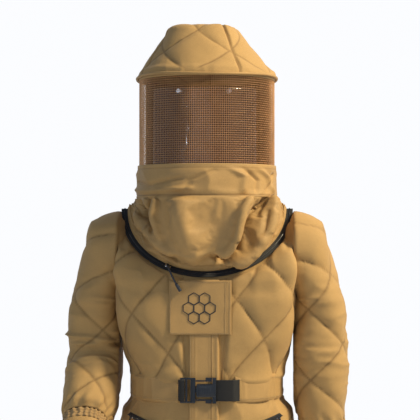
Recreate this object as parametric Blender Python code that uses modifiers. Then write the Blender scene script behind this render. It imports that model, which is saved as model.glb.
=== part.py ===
"""Quilted beekeeping suit: a one-piece padded overall with a zip-on hood, wire-mesh veil, waist belt and pockets.

Metres, +Z up, -Y is the front. "Left" and "right" are the wearer's: left is +X.
The origin is the centre of the collar ring, between the two shoulder tops.
"""

import math

import bmesh
import bpy
from mathutils import Matrix, Vector

# ---------------------------------------------------------------- driving dimensions
GAP = 0.0004  # clearance kept between neighbouring solids
FABRIC = 0.006  # quilted wall
PLAIN = 0.003  # unquilted wall
ROUND = 40  # points around a large tube
SMALL_ROUND = 28  # points around a sleeve or a leg

# Collar ring: a half circle in a plane that slopes down to the chest, and a flatter half behind the neck
RING = 0.181
RING_SLOPE = math.radians(50.4)
RING_BACK_Y = 0.738  # share of the radius that the back half reaches behind
RING_BACK_Z = 0.164  # share of the radius that it drops there
COIL = 0.0016
COIL_CLEAR = 0.0029  # from the coil's centre to either tape
TAPE = 0.001
TAPE_OUTER = 0.187
TAPE_INNER = 0.173

# Front centre line, straight from the collar to the crotch
FRONT_TOP = Vector((0, -0.1205, -0.145))
FRONT_LEAN = math.radians(4.5)
PLACKET_HALF = 0.032
PLACKET_DEEP = 0.0085
PATCH_LEFT, PATCH_RIGHT = -0.074, 0.058  # chest patch, along X
PATCH_TOP, PATCH_BOTTOM = 0.007, 0.122  # chest patch, distance down the front line

# Heights
CHEST_Z = -0.20
BELT_Z = -0.380
BELT_TALL = 0.057
HIP_END = -0.600
THIGH_TOP = -0.705
HOOD_BAND_Z = 0.0385
VEIL_LOW, VEIL_HIGH = 0.092, 0.300
CROWN_TOP = 0.396

# Joints
SHOULDER = Vector((0, 0, -0.097))
ELBOW = Vector((0, -0.030, -0.325))
ELBOW_HALF = 0.045
HIP = Vector((0, -0.060, -0.650))
KNEE = Vector((0, 0.035, -0.960))
KNEE_HALF = 0.050
RIGHT_BEND = math.radians(45)  # the right elbow's bend at rest
SEAM = 0.0015  # gap between two tubes sewn end to end, whose walls tilt
SLIDER_AT = math.radians(-25.6)  # the collar slider's place on the front half ring, from its lowest point

SIDES = (("left", 1), ("right", -1))


# ---------------------------------------------------------------- scene and materials
def clear_scene():
    for obj in list(bpy.data.objects):
        bpy.data.objects.remove(obj, do_unlink=True)


def collection(name):
    found = bpy.data.collections.new(name)
    bpy.context.scene.collection.children.link(found)
    return found


def material(name, colour, roughness, metallic=0.0, alpha=1.0):
    mat = bpy.data.materials.new(name)
    mat.use_nodes = True
    shader = mat.node_tree.nodes["Principled BSDF"]
    shader.inputs["Base Color"].default_value = (*colour, 1)
    shader.inputs["Roughness"].default_value = roughness
    shader.inputs["Metallic"].default_value = metallic
    shader.inputs["Alpha"].default_value = alpha
    return mat


clear_scene()
SUIT = collection("beekeeping_suit")
CUTTERS = collection("cutters")
QUILT = material("quilted_cotton", (0.52, 0.34, 0.15), 0.75)
TWILL = material("plain_twill", (0.50, 0.32, 0.13), 0.7)
WIRE = material("brass_wire_mesh", (0.55, 0.36, 0.17), 0.4, 0.9)
CLEAR = material("clear_visor", (0.9, 0.92, 0.95), 0.05, 0.0, 0.3)
BLACK_TAPE = material("black_webbing", (0.01, 0.01, 0.012), 0.8)
BLACK_PLASTIC = material("black_plastic", (0.015, 0.017, 0.02), 0.35)
STEEL = material("zip_metal", (0.6, 0.6, 0.62), 0.3, 1.0)
RUBBER = material("elastic", (0.45, 0.29, 0.13), 0.85)


# ---------------------------------------------------------------- building blocks
def add_object(name, mesh, mat, home=SUIT):
    obj = bpy.data.objects.new(name, mesh)
    home.objects.link(obj)
    if mat:
        obj.data.materials.append(mat)
    if obj.type == "MESH":
        mesh.shade_smooth()
        mesh.set_sharp_from_angle(angle=math.radians(40))
    return obj


def loft(name, rings, mat, wall, closed=True, cap_start=False, outward=False):
    """An open surface through rings of points, given a wall by Solidify; rings run so that faces point out."""
    bm = bmesh.new()
    rows = [[bm.verts.new(p) for p in ring] for ring in rings]
    count = len(rings[0])
    for lower, upper in zip(rows, rows[1:]):
        for i in range(count if closed else count - 1):
            j = (i + 1) % count
            bm.faces.new((lower[i], lower[j], upper[j], upper[i]))
    if cap_start:
        centre = sum((v.co for v in rows[0]), Vector()) / count
        hub = bm.verts.new(centre)
        for i in range(count):
            bm.faces.new((rows[0][(i + 1) % count], rows[0][i], hub))
    mesh = bpy.data.meshes.new(name)
    bm.to_mesh(mesh)
    bm.free()
    obj = add_object(name, mesh, mat)
    shell = obj.modifiers.new("wall", "SOLIDIFY")
    shell.thickness = wall
    shell.offset = 1 if outward else -1
    shell.use_even_offset = True
    return obj


def box(name, low, high, mat, home=SUIT, bevel=0.0):
    """A box between two corners, its scale applied, with optional rounded edges."""
    low, high = Vector(low), Vector(high)
    bpy.ops.mesh.primitive_cube_add(size=1)
    obj = bpy.context.object
    for user in list(obj.users_collection):
        user.objects.unlink(obj)
    home.objects.link(obj)
    obj.name = name
    obj.data.transform(Matrix.Diagonal((*(high - low), 1)))
    obj.data.transform(Matrix.Translation((low + high) / 2))
    if mat:
        obj.data.materials.append(mat)
    if bevel:
        soft = obj.modifiers.new("rounded", "BEVEL")
        soft.width = bevel
        soft.segments = 2
    return obj


def cylinder(name, radius, depth, mat, place, home=SUIT, sides=20):
    """A cylinder along Z before its placing matrix."""
    bpy.ops.mesh.primitive_cylinder_add(vertices=sides, radius=radius, depth=depth)
    obj = bpy.context.object
    for user in list(obj.users_collection):
        user.objects.unlink(obj)
    home.objects.link(obj)
    obj.name = name
    obj.matrix_world = place
    if mat:
        obj.data.materials.append(mat)
    obj.data.shade_smooth()
    obj.data.set_sharp_from_angle(angle=math.radians(40))
    return obj


def combine(obj, other, how):
    """Boolean of obj with a helper, which stays out of the model."""
    other.hide_render = True
    other.display_type = "WIRE"
    for user in list(other.users_collection):
        user.objects.unlink(other)
    CUTTERS.objects.link(other)
    step = obj.modifiers.new(other.name, "BOOLEAN")
    step.operation = how
    step.object = other


def tube(name, points, radius, mat, radii=None, sides=2, cyclic=False, home=SUIT):
    """A round bar along points, as a bevelled poly curve with filled caps."""
    curve = bpy.data.curves.new(name, "CURVE")
    curve.dimensions = "3D"
    curve.bevel_depth = radius
    curve.bevel_resolution = sides
    curve.use_fill_caps = True
    line = curve.splines.new("POLY")
    line.points.add(len(points) - 1)
    for i, p in enumerate(points):
        line.points[i].co = (*p, 1)
        line.points[i].radius = radii[i] if radii else 1
    line.use_cyclic_u = cyclic
    obj = bpy.data.objects.new(name, curve)
    home.objects.link(obj)
    obj.data.materials.append(mat)
    return obj


def power(value, exponent):
    return math.copysign(abs(value) ** exponent, value)


def oval(z, half_x, front, back, square=2.6, count=ROUND, centre_x=0.0, grow=0.0):
    """A rounded-square section at height z; front and back are its reach along -Y and +Y."""
    ring = []
    for i in range(count):
        a = 2 * math.pi * i / count
        x = (half_x + grow) * power(math.cos(a), 2 / square)
        reach = (front if math.sin(a) < 0 else back) + grow
        ring.append(Vector((centre_x + x, reach * power(math.sin(a), 2 / square), z)))
    return ring


def front_reach(z):
    """How far the straight front centre line stands forward of the origin at height z."""
    return -FRONT_TOP.y + (FRONT_TOP.z - z) * math.tan(FRONT_LEAN)


# ---------------------------------------------------------------- collar ring geometry
def ring_point(radius, a):
    """A point on the collar ring's surface; a runs from the left shoulder (0) through the back (90 degrees)."""
    x, s = radius * math.cos(a), radius * math.sin(a)
    if s < 0:
        return Vector((x, s * math.cos(RING_SLOPE), s * math.sin(RING_SLOPE)))
    return Vector((x, s * RING_BACK_Y, -s * RING_BACK_Z))


def ring_up(a):
    """The direction that stands off the ring's surface, away from the suit's body."""
    front = Vector((0, -math.sin(RING_SLOPE), math.cos(RING_SLOPE)))
    back = Vector((0, RING_BACK_Z, RING_BACK_Y)).normalized()
    t = min(1.0, max(0.0, (math.sin(a) + 0.35) / 0.7))
    t = t * t * (3 - 2 * t)
    return front.lerp(back, t).normalized()


def ring_row(radius, lift=0.0, count=48):
    angles = [2 * math.pi * i / count for i in range(count)]
    return [ring_point(radius, a) + ring_up(a) * lift for a in angles]


def collar():
    """The two zip tapes of the collar and the coil between them."""
    loft("collar_zip_tape", [ring_row(TAPE_OUTER, -TAPE / 2), ring_row(RING + COIL_CLEAR, -TAPE / 2)],
         BLACK_TAPE, TAPE, outward=True)
    loft("hood_zip_tape", [ring_row(RING - COIL_CLEAR, -TAPE / 2), ring_row(TAPE_INNER, -TAPE / 2)],
         BLACK_TAPE, TAPE, outward=True)
    tube("collar_zip_coil", ring_row(RING), COIL, BLACK_PLASTIC, sides=1, cyclic=True)


# ---------------------------------------------------------------- upper body
def body_section(z, grow=0.0, count=ROUND):
    """The suit body's outline at a height between the chest and the hips."""
    stations = (
        # height, half width, back reach, squareness
        (-0.600, 0.200, 0.165, 2.8),
        (-0.500, 0.192, 0.160, 2.7),
        (-0.440, 0.180, 0.145, 2.6),
        (-0.412, 0.161, 0.125, 2.6),
        (-0.348, 0.161, 0.125, 2.6),
        (-0.310, 0.174, 0.136, 2.8),
        (-0.250, 0.181, 0.148, 3.6),
        (CHEST_Z, 0.183, 0.150, 4.2),
    )
    for low, high in zip(stations, stations[1:]):
        if z <= high[0] + 1e-9:
            t = max(0.0, (z - low[0]) / (high[0] - low[0]))
            half, back, square = (low[k] + t * (high[k] - low[k]) for k in (1, 2, 3))
            break
    else:
        half, back, square = stations[-1][1:]
    return oval(z, half, front_reach(z), back, square, count, grow=grow)


def torso():
    """Quilted body from the collar to the waist seam, with armholes."""
    rows = [body_section(z, count=48) for z in (-0.3805, -0.348, -0.310, -0.250, CHEST_Z)]
    rim = ring_row(TAPE_OUTER + 0.0008, -0.0038)
    for share in (0.35, 0.7, 1.0):
        rows.append([a.lerp(b, share) for a, b in zip(rows[4], rim)])
    shell = loft("torso_shell", rows, QUILT, FABRIC)
    for side, sign in SIDES:
        turn = Matrix.Rotation(math.pi / 2, 4, "Y")
        place = Matrix.Translation((sign * 0.180, 0, SHOULDER.z - 0.008)) @ turn
        hole = cylinder(f"armhole_{side}", 0.068, 0.09, None, place, CUTTERS, 28)
        combine(shell, hole, "DIFFERENCE")


def hips():
    """Quilted body from the waist seam to the top of the legs."""
    heights = (HIP_END, -0.550, -0.500, -0.440, -0.412, -0.381 - GAP)
    loft("hip_shell", [body_section(z, count=36) for z in heights], QUILT, FABRIC)


def front_frame():
    """An empty on the leaning front line: local Z runs up it and local -Y stands off it."""
    empty = bpy.data.objects.new("front_line", None)
    SUIT.objects.link(empty)
    empty.location = FRONT_TOP
    empty.rotation_euler = (-FRONT_LEAN, 0, 0)
    return empty


def front_closure(line):
    """Front zip under its placket, and the chest patch over the top of it."""
    tape_top, tape_low = -0.010, -0.450
    skin = 0.0006
    tape = box("front_zip_tape", (-0.014, -skin - 0.0012, tape_low), (0.014, -skin, tape_top), BLACK_TAPE)
    coil = box("front_zip_coil", (-0.002, -0.0030, tape_low), (0.002, -0.0018 - GAP, tape_top), BLACK_PLASTIC)
    slider = box("front_zip_slider", (-0.005, -0.0058, -0.027), (0.005, -0.0034, -0.015), STEEL, bevel=0.0006)
    placket = box("placket", (-PLACKET_HALF, -PLACKET_DEEP, tape_low - 0.004), (PLACKET_HALF, -skin, -0.006), TWILL)
    tunnel = box("placket_tunnel", (-0.0145, -0.0064, tape_low - 0.01), (0.0145, 0.01, 0.01), None, CUTTERS)
    combine(placket, tunnel, "DIFFERENCE")
    patch = box("chest_patch", (PATCH_LEFT, -PLACKET_DEEP - GAP - 0.0016, -PATCH_BOTTOM),
                (PATCH_RIGHT, -PLACKET_DEEP - GAP, -PATCH_TOP), TWILL)
    for obj in (tape, coil, slider, placket, tunnel, patch):
        obj.parent = line


def surface_strip(a_low, a_high, z_low, z_high, grow, columns, rows, slant=0.0):
    """Rows of points on the body between two angles and heights; slant tilts the strip along the body."""
    fine = 360
    strip = []
    for r in range(rows):
        line = []
        for c in range(columns):
            u = c / (columns - 1)
            a = a_low + (a_high - a_low) * u
            z = z_low + (z_high - z_low) * r / (rows - 1) + slant * u
            section = body_section(z, grow, fine)
            place = (a / (2 * math.pi) * fine) % fine
            i = int(place)
            line.append(section[i].lerp(section[(i + 1) % fine], place - i))
        strip.append(line)
    return strip


def belt():
    """The waist band round the sides and back, open in front where the buckle sits."""
    low, high = BELT_Z - BELT_TALL / 2, BELT_Z + BELT_TALL / 2
    start, end = math.radians(-90 + 27), math.radians(270 - 27)
    rows = [[p for p in row] for row in surface_strip(start, end, low, high, 0.0008, 38, 3)]
    loft("belt_casing", rows, TWILL, 0.0038, closed=False, outward=True)


# ---------------------------------------------------------------- pockets
def on_body(x, z, grow):
    """The point of the hips' front surface at x and z, with the body grown outwards a little."""
    half, reach, square = 0.182 + grow, front_reach(z) + grow, 2.65
    return Vector((x, -reach * (1 - abs(x / half) ** square) ** (1 / square), z))


def arc_through(a, b, c):
    """Centre, axis and the two end angles' frame of the circle through three points."""
    ab, ac = b - a, c - a
    axis = ab.cross(ac)
    centre = a + (axis.cross(ab) * ac.length_squared + ac.cross(axis) * ab.length_squared) / (2 * axis.length_squared)
    return centre, axis.normalized()


def arc_strip(centre, axis, start, turn, low, high, rise, columns):
    """Rows of points round a circle: low and high are along its axis, rise is outwards from it."""
    rows = []
    for lift in (low, high):
        row = []
        for i in range(columns):
            spoke = Matrix.Rotation(turn * i / (columns - 1), 3, axis) @ start
            row.append(centre + spoke * (1 + rise / spoke.length) + axis * lift)
        rows.append(row)
    return rows


def pockets():
    """Hip pockets: a panel, and over its edge a slanting zip that follows the hip, with slider and puller."""
    for side, sign in SIDES:
        low_a, high_a = sorted((math.radians(-90 + sign * 24), math.radians(-90 + sign * 56)))
        strip = surface_strip(low_a, high_a, -0.585, -0.492, 0.0008, 9, 4)
        loft(f"pocket_panel_{side}", strip, QUILT, 0.0028, closed=False, outward=True)
        ends = [on_body(sign * x, z, 0.0012) for x, z in ((0.086, -0.4625), (0.122, -0.4520), (0.158, -0.4395))]
        centre, axis = arc_through(*(ends if sign > 0 else reversed(ends)))
        first = ends[0] if sign > 0 else ends[2]
        start = first - centre
        turn = start.angle((ends[2] if sign > 0 else ends[0]) - centre)
        tape = loft(f"pocket_zip_{side}", arc_strip(centre, axis, start, turn, -0.0070, 0.0070, 0.0, 9), BLACK_TAPE,
                    0.0012, closed=False, outward=True)
        coil = loft(f"pocket_coil_{side}", arc_strip(centre, axis, start, turn, -0.0016, 0.0016, 0.0006, 9), None,
                    0.0018, closed=False, outward=True)
        combine(tape, coil, "UNION")
        # The slider rests near the outer end
        share = 0.90 if sign > 0 else 0.10
        spoke = Matrix.Rotation(turn * share, 3, axis) @ start
        out = spoke.normalized()
        frame = Matrix((axis.cross(out), out, axis)).transposed().to_4x4()
        frame.translation = centre + spoke
        slider = box(f"pocket_slider_{side}", (-0.0050, 0.0028, -0.0040), (0.0050, 0.0056, 0.0040), STEEL,
                     bevel=0.0007)
        puller = box(f"pocket_puller_{side}", (-0.0025, 0.0064, -0.0260), (0.0025, 0.0084, 0.0010), BLACK_PLASTIC,
                     bevel=0.0005)
        for obj in (slider, puller):
            obj.matrix_world = frame


# ---------------------------------------------------------------- buckle
BUCKLE_BACK = -0.1490  # the buckle's rear plane
BUCKLE_DEEP = 0.0100
BUCKLE_HALF = 0.0265
LADDER = (-0.0656, -0.0330)
FEMALE = (-0.0310, 0.0100)
WEB_HALF = 0.0225
WEB_END = 0.059
BUCKLE_ASIDE = 0.016  # how far the buckle sits towards the wearer's left


def buckle():
    """Side-release buckle: the male half with its ladder bars and two sprung prongs, and the female half."""
    place = bpy.data.objects.new("buckle_place", None)
    SUIT.objects.link(place)
    place.location.x = BUCKLE_ASIDE
    before = set(bpy.data.objects)
    y0, y1 = BUCKLE_BACK - BUCKLE_DEEP, BUCKLE_BACK
    z = BELT_Z
    male = box("buckle_male", (LADDER[0], y0 + 0.002, z - BUCKLE_HALF), (LADDER[1], y1 - 0.002, z + BUCKLE_HALF),
               BLACK_PLASTIC, bevel=0.0015)
    for n, (a, b) in enumerate(((-0.0610, -0.0545), (-0.0500, -0.0435))):
        slot = box(f"ladder_slot_{n}", (a, y0 - 0.01, z - WEB_HALF - 0.0005), (b, y1 + 0.01, z + WEB_HALF + 0.0005),
                   None, CUTTERS)
        combine(male, slot, "DIFFERENCE")
    guide = box("buckle_guide", (LADDER[1] - 0.003, y0 + 0.0035, z - 0.004), (-0.010, y1 - 0.0035, z + 0.004),
                None, CUTTERS)
    combine(male, guide, "UNION")
    for name, sign in (("upper", 1), ("lower", -1)):
        low, high = sorted((z + sign * 0.0185, z + sign * 0.0215))
        prong = box(f"buckle_prong_{name}", (LADDER[1] + GAP, y0 + 0.003, low), (0.0010, y1 - 0.003, high),
                    BLACK_PLASTIC)
        low, high = sorted((z + sign * 0.0185, z + sign * 0.0265))
        head = box(f"prong_head_{name}", (-0.0120, y0 + 0.003, low), (0.0012, y1 - 0.003, high), None, CUTTERS)
        combine(prong, head, "UNION")
    female = box("buckle_female", (FEMALE[0], y0, z - 0.0135), (FEMALE[1], y1, z + 0.0135), BLACK_PLASTIC, bevel=0.002)
    frame = box("female_frame", (0.0026, y0 + 0.001, z - BUCKLE_HALF), (FEMALE[1], y1 - 0.001, z + BUCKLE_HALF),
                None, CUTTERS)
    combine(female, frame, "UNION")
    socket = box("female_socket", (FEMALE[0] - 0.01, y0 + 0.0028, z - 0.0052), (-0.008, y1 - 0.0028, z + 0.0052),
                 None, CUTTERS)
    combine(female, socket, "DIFFERENCE")
    # Webbing: a tail sewn over the left belt end, and a loop round the ladder's outer bar
    box("webbing_left", (FEMALE[1] + GAP, y1 - 0.0062, z - WEB_HALF), (WEB_END, y1 - 0.0034, z + WEB_HALF), BLACK_TAPE)
    loop = box("webbing_loop", (-0.0690, y0 + 0.0002, z - WEB_HALF), (-0.0555, y1 - 0.0002, z + WEB_HALF), BLACK_TAPE)
    inside = box("loop_inside", (-0.0662, y0 + 0.0016, z - WEB_HALF - 0.01), (-0.0400, y1 - 0.0016, z + WEB_HALF + 0.01),
                 None, CUTTERS)
    combine(loop, inside, "DIFFERENCE")
    for obj in set(bpy.data.objects) - before:
        obj.parent = place


# ---------------------------------------------------------------- collar slider and its puller
def collar_slider():
    """The slider rides over the coil on the chest; its puller hangs from an eye."""
    a = -math.pi / 2 + SLIDER_AT
    up, out = ring_up(a), ring_point(1, a)
    along = out.cross(up).normalized()
    frame = Matrix((along, up, along.cross(up))).transposed().to_4x4()
    frame.translation = ring_point(RING, a)
    base = COIL + GAP
    body = box("collar_slider", (-0.0070, base, -0.0026), (0.0070, base + 0.0032, 0.0026), STEEL, bevel=0.0006)
    eye = box("slider_eye", (-0.0045, base + 0.0028, -0.0012), (0.0045, base + 0.0070, 0.0012), None, CUTTERS)
    hole = box("slider_eye_hole", (-0.0028, base + 0.0032, -0.01), (0.0028, base + 0.0054, 0.01), None, CUTTERS)
    combine(body, eye, "UNION")
    combine(body, hole, "DIFFERENCE")
    for obj in (body, eye, hole):
        obj.matrix_world = frame
    pivot = frame @ Vector((0, base + 0.0100, 0.0))
    route = (
        # across, forward, down; then the cord's thickness as a share
        ((0.000, 0.000, 0.0000), 0.9),
        ((0.001, -0.008, -0.0010), 1.0),
        ((0.003, -0.017, -0.0070), 1.0),
        ((0.008, -0.0235, -0.0180), 0.8),
        ((0.014, -0.0255, -0.0300), 0.8),
        ((0.019, -0.0262, -0.0390), 0.8),
        ((0.021, -0.0265, -0.0420), 1.45),
        ((0.0285, -0.0272, -0.0550), 1.6),
        ((0.0290, -0.0272, -0.0560), 1.2),
    )
    tube("collar_puller", [pivot + Vector(p) for p, _ in route], 0.0026, BLACK_TAPE, [r for _, r in route])


# ---------------------------------------------------------------- hood
def hood_section(z, grow=0.0, count=ROUND):
    """The veil's outline: nearly round, a little deeper than wide."""
    return oval(z, 0.1485, 0.158, 0.158, 2.15, count, grow=grow)


def hood_arc(z, start, end, columns, grow=0.0):
    """Part of the veil's outline between two angles in degrees, -90 being the front."""
    points = []
    for i in range(columns):
        a = math.radians(start + (end - start) * i / (columns - 1))
        x = (0.1485 + grow) * power(math.cos(a), 2 / 2.15)
        points.append(Vector((x, (0.158 + grow) * power(math.sin(a), 2 / 2.15), z)))
    return points


def crown():
    """Quilted crown: sloping sides up to a flat oval top, with a piped brim."""
    rows = [
        oval(CROWN_TOP, 0.066, 0.085, 0.095, 2.6),
        oval(CROWN_TOP - 0.007, 0.082, 0.100, 0.110, 2.5),
        oval(0.350, 0.118, 0.134, 0.140, 2.3),
        oval(0.318, 0.146, 0.158, 0.160, 2.2),
        oval(VEIL_HIGH + 0.0030, 0.152, 0.163, 0.163, 2.15),
    ]
    rows = [list(reversed(row)) for row in rows]
    loft("hood_crown", rows, QUILT, FABRIC, cap_start=True)
    brim = oval(VEIL_HIGH + 0.007, 0.1563, 0.1673, 0.1673, 2.15)
    tube("crown_piping", brim, 0.0030, TWILL, sides=1, cyclic=True)


def veil():
    """Wire mesh round the face and sides, a quilted panel behind, and the clear visor inside."""
    low, high = VEIL_LOW + GAP, VEIL_HIGH - GAP
    mesh_rows = [hood_arc(z, -202, 22, 40) for z in (low, (low + high) / 2, high)]
    loft("mesh_veil", mesh_rows, WIRE, 0.0014, closed=False)
    back_rows = [hood_arc(z, 22.3, 157.7, 22) for z in (low, (low + high) / 2, high)]
    loft("hood_back_panel", back_rows, QUILT, FABRIC, closed=False)
    visor_rows = [hood_arc(z, -142, -38, 20, -0.012) for z in (0.040, 0.150, 0.254)]
    loft("clear_visor", visor_rows, CLEAR, 0.0015, closed=False)
    for side, sign in SIDES:
        place = Matrix.Translation((sign * 0.0522, -0.1425, 0.246)) @ Matrix.Rotation(math.pi / 2, 4, "X")
        stud = cylinder(f"visor_snap_{side}", 0.005, 0.0080, STEEL, place, sides=16)
        stud.rotation_euler.z += sign * math.radians(22)


def neck():
    """Plain fabric band under the veil, and the full skirt that drops to the collar zip."""
    band = [hood_section(z, grow) for z, grow in ((HOOD_BAND_Z + GAP, 0.004), (0.065, 0.003), (VEIL_LOW, 0.001))]
    loft("neck_band", band, TWILL, PLAIN)
    top = oval(HOOD_BAND_Z - 0.0015, 0.1525, 0.162, 0.162, 2.15, 48)
    foot, stand = ring_row(0.1745, 0.0012), ring_row(0.1745, 0.0120)
    rows = [foot, stand]
    for share, belly in ((0.22, 0.022), (0.50, 0.030), (0.78, 0.016)):
        row = []
        for low, high in zip(stand, top):
            forward = max(0.0, -low.y / 0.12)
            row.append(low.lerp(high, share) + Vector((0, -belly * forward, 0)))
        rows.append(row)
    loft("neck_skirt", [*rows, top], TWILL, PLAIN)


# ---------------------------------------------------------------- sleeves
def fan_ring(inner, outer, half_y, square=2.3, count=SMALL_ROUND):
    """A sleeve section in the plane through its inner and outer points, both given as (x, z)."""
    inner, outer = Vector((inner[0], 0, inner[1])), Vector((outer[0], 0, outer[1]))
    centre, across = (inner + outer) / 2, (outer - inner) / 2
    ring = []
    for i in range(count):
        a = 2 * math.pi * i / count
        side = Vector((0, half_y * power(math.sin(a), 2 / square), 0))
        ring.append(centre + across * power(math.cos(a), 2 / square) + side)
    return ring


def mirrored(rows, sign):
    """Rows as they are for the left, or mirrored in X with the faces kept pointing out for the right."""
    if sign > 0:
        return rows
    return [[Vector((-p.x, p.y, p.z)) for p in reversed(row)] for row in rows]


def bent(rows, sign):
    """The right forearm's rows turned forward to its bend at rest."""
    if sign > 0:
        return rows
    turn = Matrix.Translation(ELBOW) @ Matrix.Rotation(-RIGHT_BEND, 4, "X") @ Matrix.Translation(-ELBOW)
    return [[turn @ p for p in row] for row in rows]


def sleeve_level(z, inner_x, outer_x, half_y):
    return fan_ring((inner_x, z), (outer_x, z), half_y)


def sleeves():
    """Each sleeve: a head that folds at the shoulder, an upper tube, a folding elbow, a forearm and a gauntlet."""
    high, low = ELBOW.z + ELBOW_HALF, ELBOW.z - ELBOW_HALF
    start = -0.2100
    for side, sign in SIDES:
        head = [
            fan_ring((0.1898, SHOULDER.z - 0.086), (0.1898, SHOULDER.z + 0.086), 0.086, 2.0),
            fan_ring((0.1905, -0.1880), (0.2150, -0.0150), 0.086, 2.1),
            fan_ring((0.1910, -0.1930), (0.2480, -0.0330), 0.084, 2.2),
            fan_ring((0.1915, -0.1975), (0.2740, -0.0830), 0.081),
            fan_ring((0.1920, -0.2020), (0.2930, -0.1500), 0.078),
            sleeve_level(start, 0.1925, 0.3060, 0.0760),
        ]
        loft(f"sleeve_head_{side}", mirrored(head[::-1], sign), QUILT, FABRIC)
        upper = [
            sleeve_level(high, 0.1900, 0.3095, 0.0720),
            sleeve_level(-0.245, 0.1905, 0.3085, 0.0740),
            sleeve_level(start - 0.0040, 0.1925, 0.3065, 0.0758),
        ]
        loft(f"upper_sleeve_{side}", mirrored(upper, sign), QUILT, FABRIC)
        elbow = [
            sleeve_level(low + SEAM, 0.1910, 0.3095, 0.0690),
            sleeve_level(ELBOW.z, 0.1900, 0.3105, 0.0710),
            sleeve_level(high - SEAM, 0.1900, 0.3095, 0.0720),
        ]
        if sign < 0:
            turned = bent([sleeve_level(low + SEAM * 2, 0.1910, 0.3095, 0.0690)], sign)[0]
            middle = [a.lerp(b, 0.5) + Vector((0, 0.012, -0.004)) for a, b in zip(elbow[2], turned)]
            elbow = [turned, middle, elbow[2]]
        loft(f"elbow_fold_{side}", mirrored(elbow, sign), QUILT, FABRIC)
        fore = [
            sleeve_level(-0.472, 0.2060, 0.3010, 0.0520),
            sleeve_level(-0.420, 0.1955, 0.3085, 0.0640),
            sleeve_level(low, 0.1910, 0.3095, 0.0690),
        ]
        loft(f"forearm_sleeve_{side}", mirrored(bent(fore, sign), sign), QUILT, FABRIC)
        band = [
            sleeve_level(-0.495, 0.2075, 0.2990, 0.0500),
            sleeve_level(-0.472 - SEAM * 2, 0.2075, 0.2990, 0.0500),
        ]
        loft(f"cuff_elastic_{side}", mirrored(bent(band, sign), sign), RUBBER, PLAIN)
        glove = [
            sleeve_level(-0.600, 0.2220, 0.3020, 0.0430),
            sleeve_level(-0.540, 0.2110, 0.3040, 0.0500),
            sleeve_level(-0.495 - GAP * 2, 0.2080, 0.2980, 0.0490),
        ]
        loft(f"gauntlet_{side}", mirrored(bent(glove, sign), sign), TWILL, PLAIN)


# ---------------------------------------------------------------- legs
def leg_ring(z, centre_x, half_x, front, back, square):
    return oval(z, half_x, front, back, square, SMALL_ROUND, centre_x)


def legs():
    """Each leg: a seat half that folds at the hip, a thigh, a folding knee, a shin and an elastic hem."""
    for side, sign in SIDES:
        seat = [leg_ring(THIGH_TOP + SEAM * 2, 0.1035, 0.0985, 0.135, 0.140, 2.5),
                leg_ring(-0.655, 0.1030, 0.1005, 0.148, 0.153, 2.9),
                leg_ring(HIP_END - SEAM * 2, 0.1005, 0.0985, 0.154, 0.160, 3.2)]
        thigh = [leg_ring(KNEE.z + KNEE_HALF, 0.1180, 0.0860, 0.092, 0.096, 2.2),
                 leg_ring(-0.800, 0.1130, 0.0930, 0.110, 0.115, 2.2),
                 leg_ring(THIGH_TOP, 0.1035, 0.0990, 0.135, 0.140, 2.5)]
        knee = [leg_ring(KNEE.z - KNEE_HALF + SEAM, 0.1200, 0.0830, 0.090, 0.088, 2.2),
                leg_ring(KNEE.z, 0.1190, 0.0850, 0.094, 0.090, 2.2),
                leg_ring(KNEE.z + KNEE_HALF - SEAM, 0.1180, 0.0860, 0.092, 0.096, 2.2)]
        shin = [leg_ring(-1.360, 0.1270, 0.0660, 0.070, 0.074, 2.1),
                leg_ring(-1.180, 0.1240, 0.0790, 0.082, 0.086, 2.1),
                leg_ring(KNEE.z - KNEE_HALF, 0.1200, 0.0830, 0.090, 0.088, 2.2)]
        hem = [leg_ring(-1.400, 0.1270, 0.0640, 0.068, 0.072, 2.1),
               leg_ring(-1.360 - SEAM, 0.1270, 0.0640, 0.068, 0.072, 2.1)]
        loft(f"seat_{side}", mirrored(seat, sign), QUILT, FABRIC)
        loft(f"thigh_{side}", mirrored(thigh, sign), QUILT, FABRIC)
        loft(f"knee_fold_{side}", mirrored(knee, sign), QUILT, FABRIC)
        loft(f"shin_{side}", mirrored(shin, sign), QUILT, FABRIC)
        loft(f"ankle_elastic_{side}", mirrored(hem, sign), RUBBER, PLAIN)


def main():
    collar()
    torso()
    hips()
    front_closure(front_frame())
    belt()
    pockets()
    buckle()
    collar_slider()
    crown()
    veil()
    neck()
    sleeves()
    legs()


main()
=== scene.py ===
"""Visual model of the quilted beekeeping suit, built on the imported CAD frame. Metres, +Z up, -Y the front."""

import math

import bmesh
import bpy
import numpy as np
from mathutils import Matrix, Vector


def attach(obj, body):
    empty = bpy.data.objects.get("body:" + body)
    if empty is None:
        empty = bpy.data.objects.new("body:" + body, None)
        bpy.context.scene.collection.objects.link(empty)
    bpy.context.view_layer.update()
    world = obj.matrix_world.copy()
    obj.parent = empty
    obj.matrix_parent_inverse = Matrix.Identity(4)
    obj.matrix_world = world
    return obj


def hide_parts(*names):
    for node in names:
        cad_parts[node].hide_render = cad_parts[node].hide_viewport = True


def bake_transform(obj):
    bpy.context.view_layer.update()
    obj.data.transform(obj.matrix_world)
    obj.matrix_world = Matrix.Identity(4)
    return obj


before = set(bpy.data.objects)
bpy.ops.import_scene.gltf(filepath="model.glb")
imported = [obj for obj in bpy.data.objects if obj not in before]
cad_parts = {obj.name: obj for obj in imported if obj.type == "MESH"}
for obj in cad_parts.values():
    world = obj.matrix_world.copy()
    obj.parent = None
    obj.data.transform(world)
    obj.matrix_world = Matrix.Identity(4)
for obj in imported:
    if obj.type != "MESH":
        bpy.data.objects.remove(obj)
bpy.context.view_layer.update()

# ---------------------------------------------------------------- dimensions shared with the CAD
RING, RING_SLOPE, RING_BACK_Y, RING_BACK_Z = 0.181, math.radians(50.4), 0.738, 0.164
FRONT_TOP, FRONT_LEAN = np.array((0, -0.1205, -0.145)), math.radians(4.5)
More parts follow.
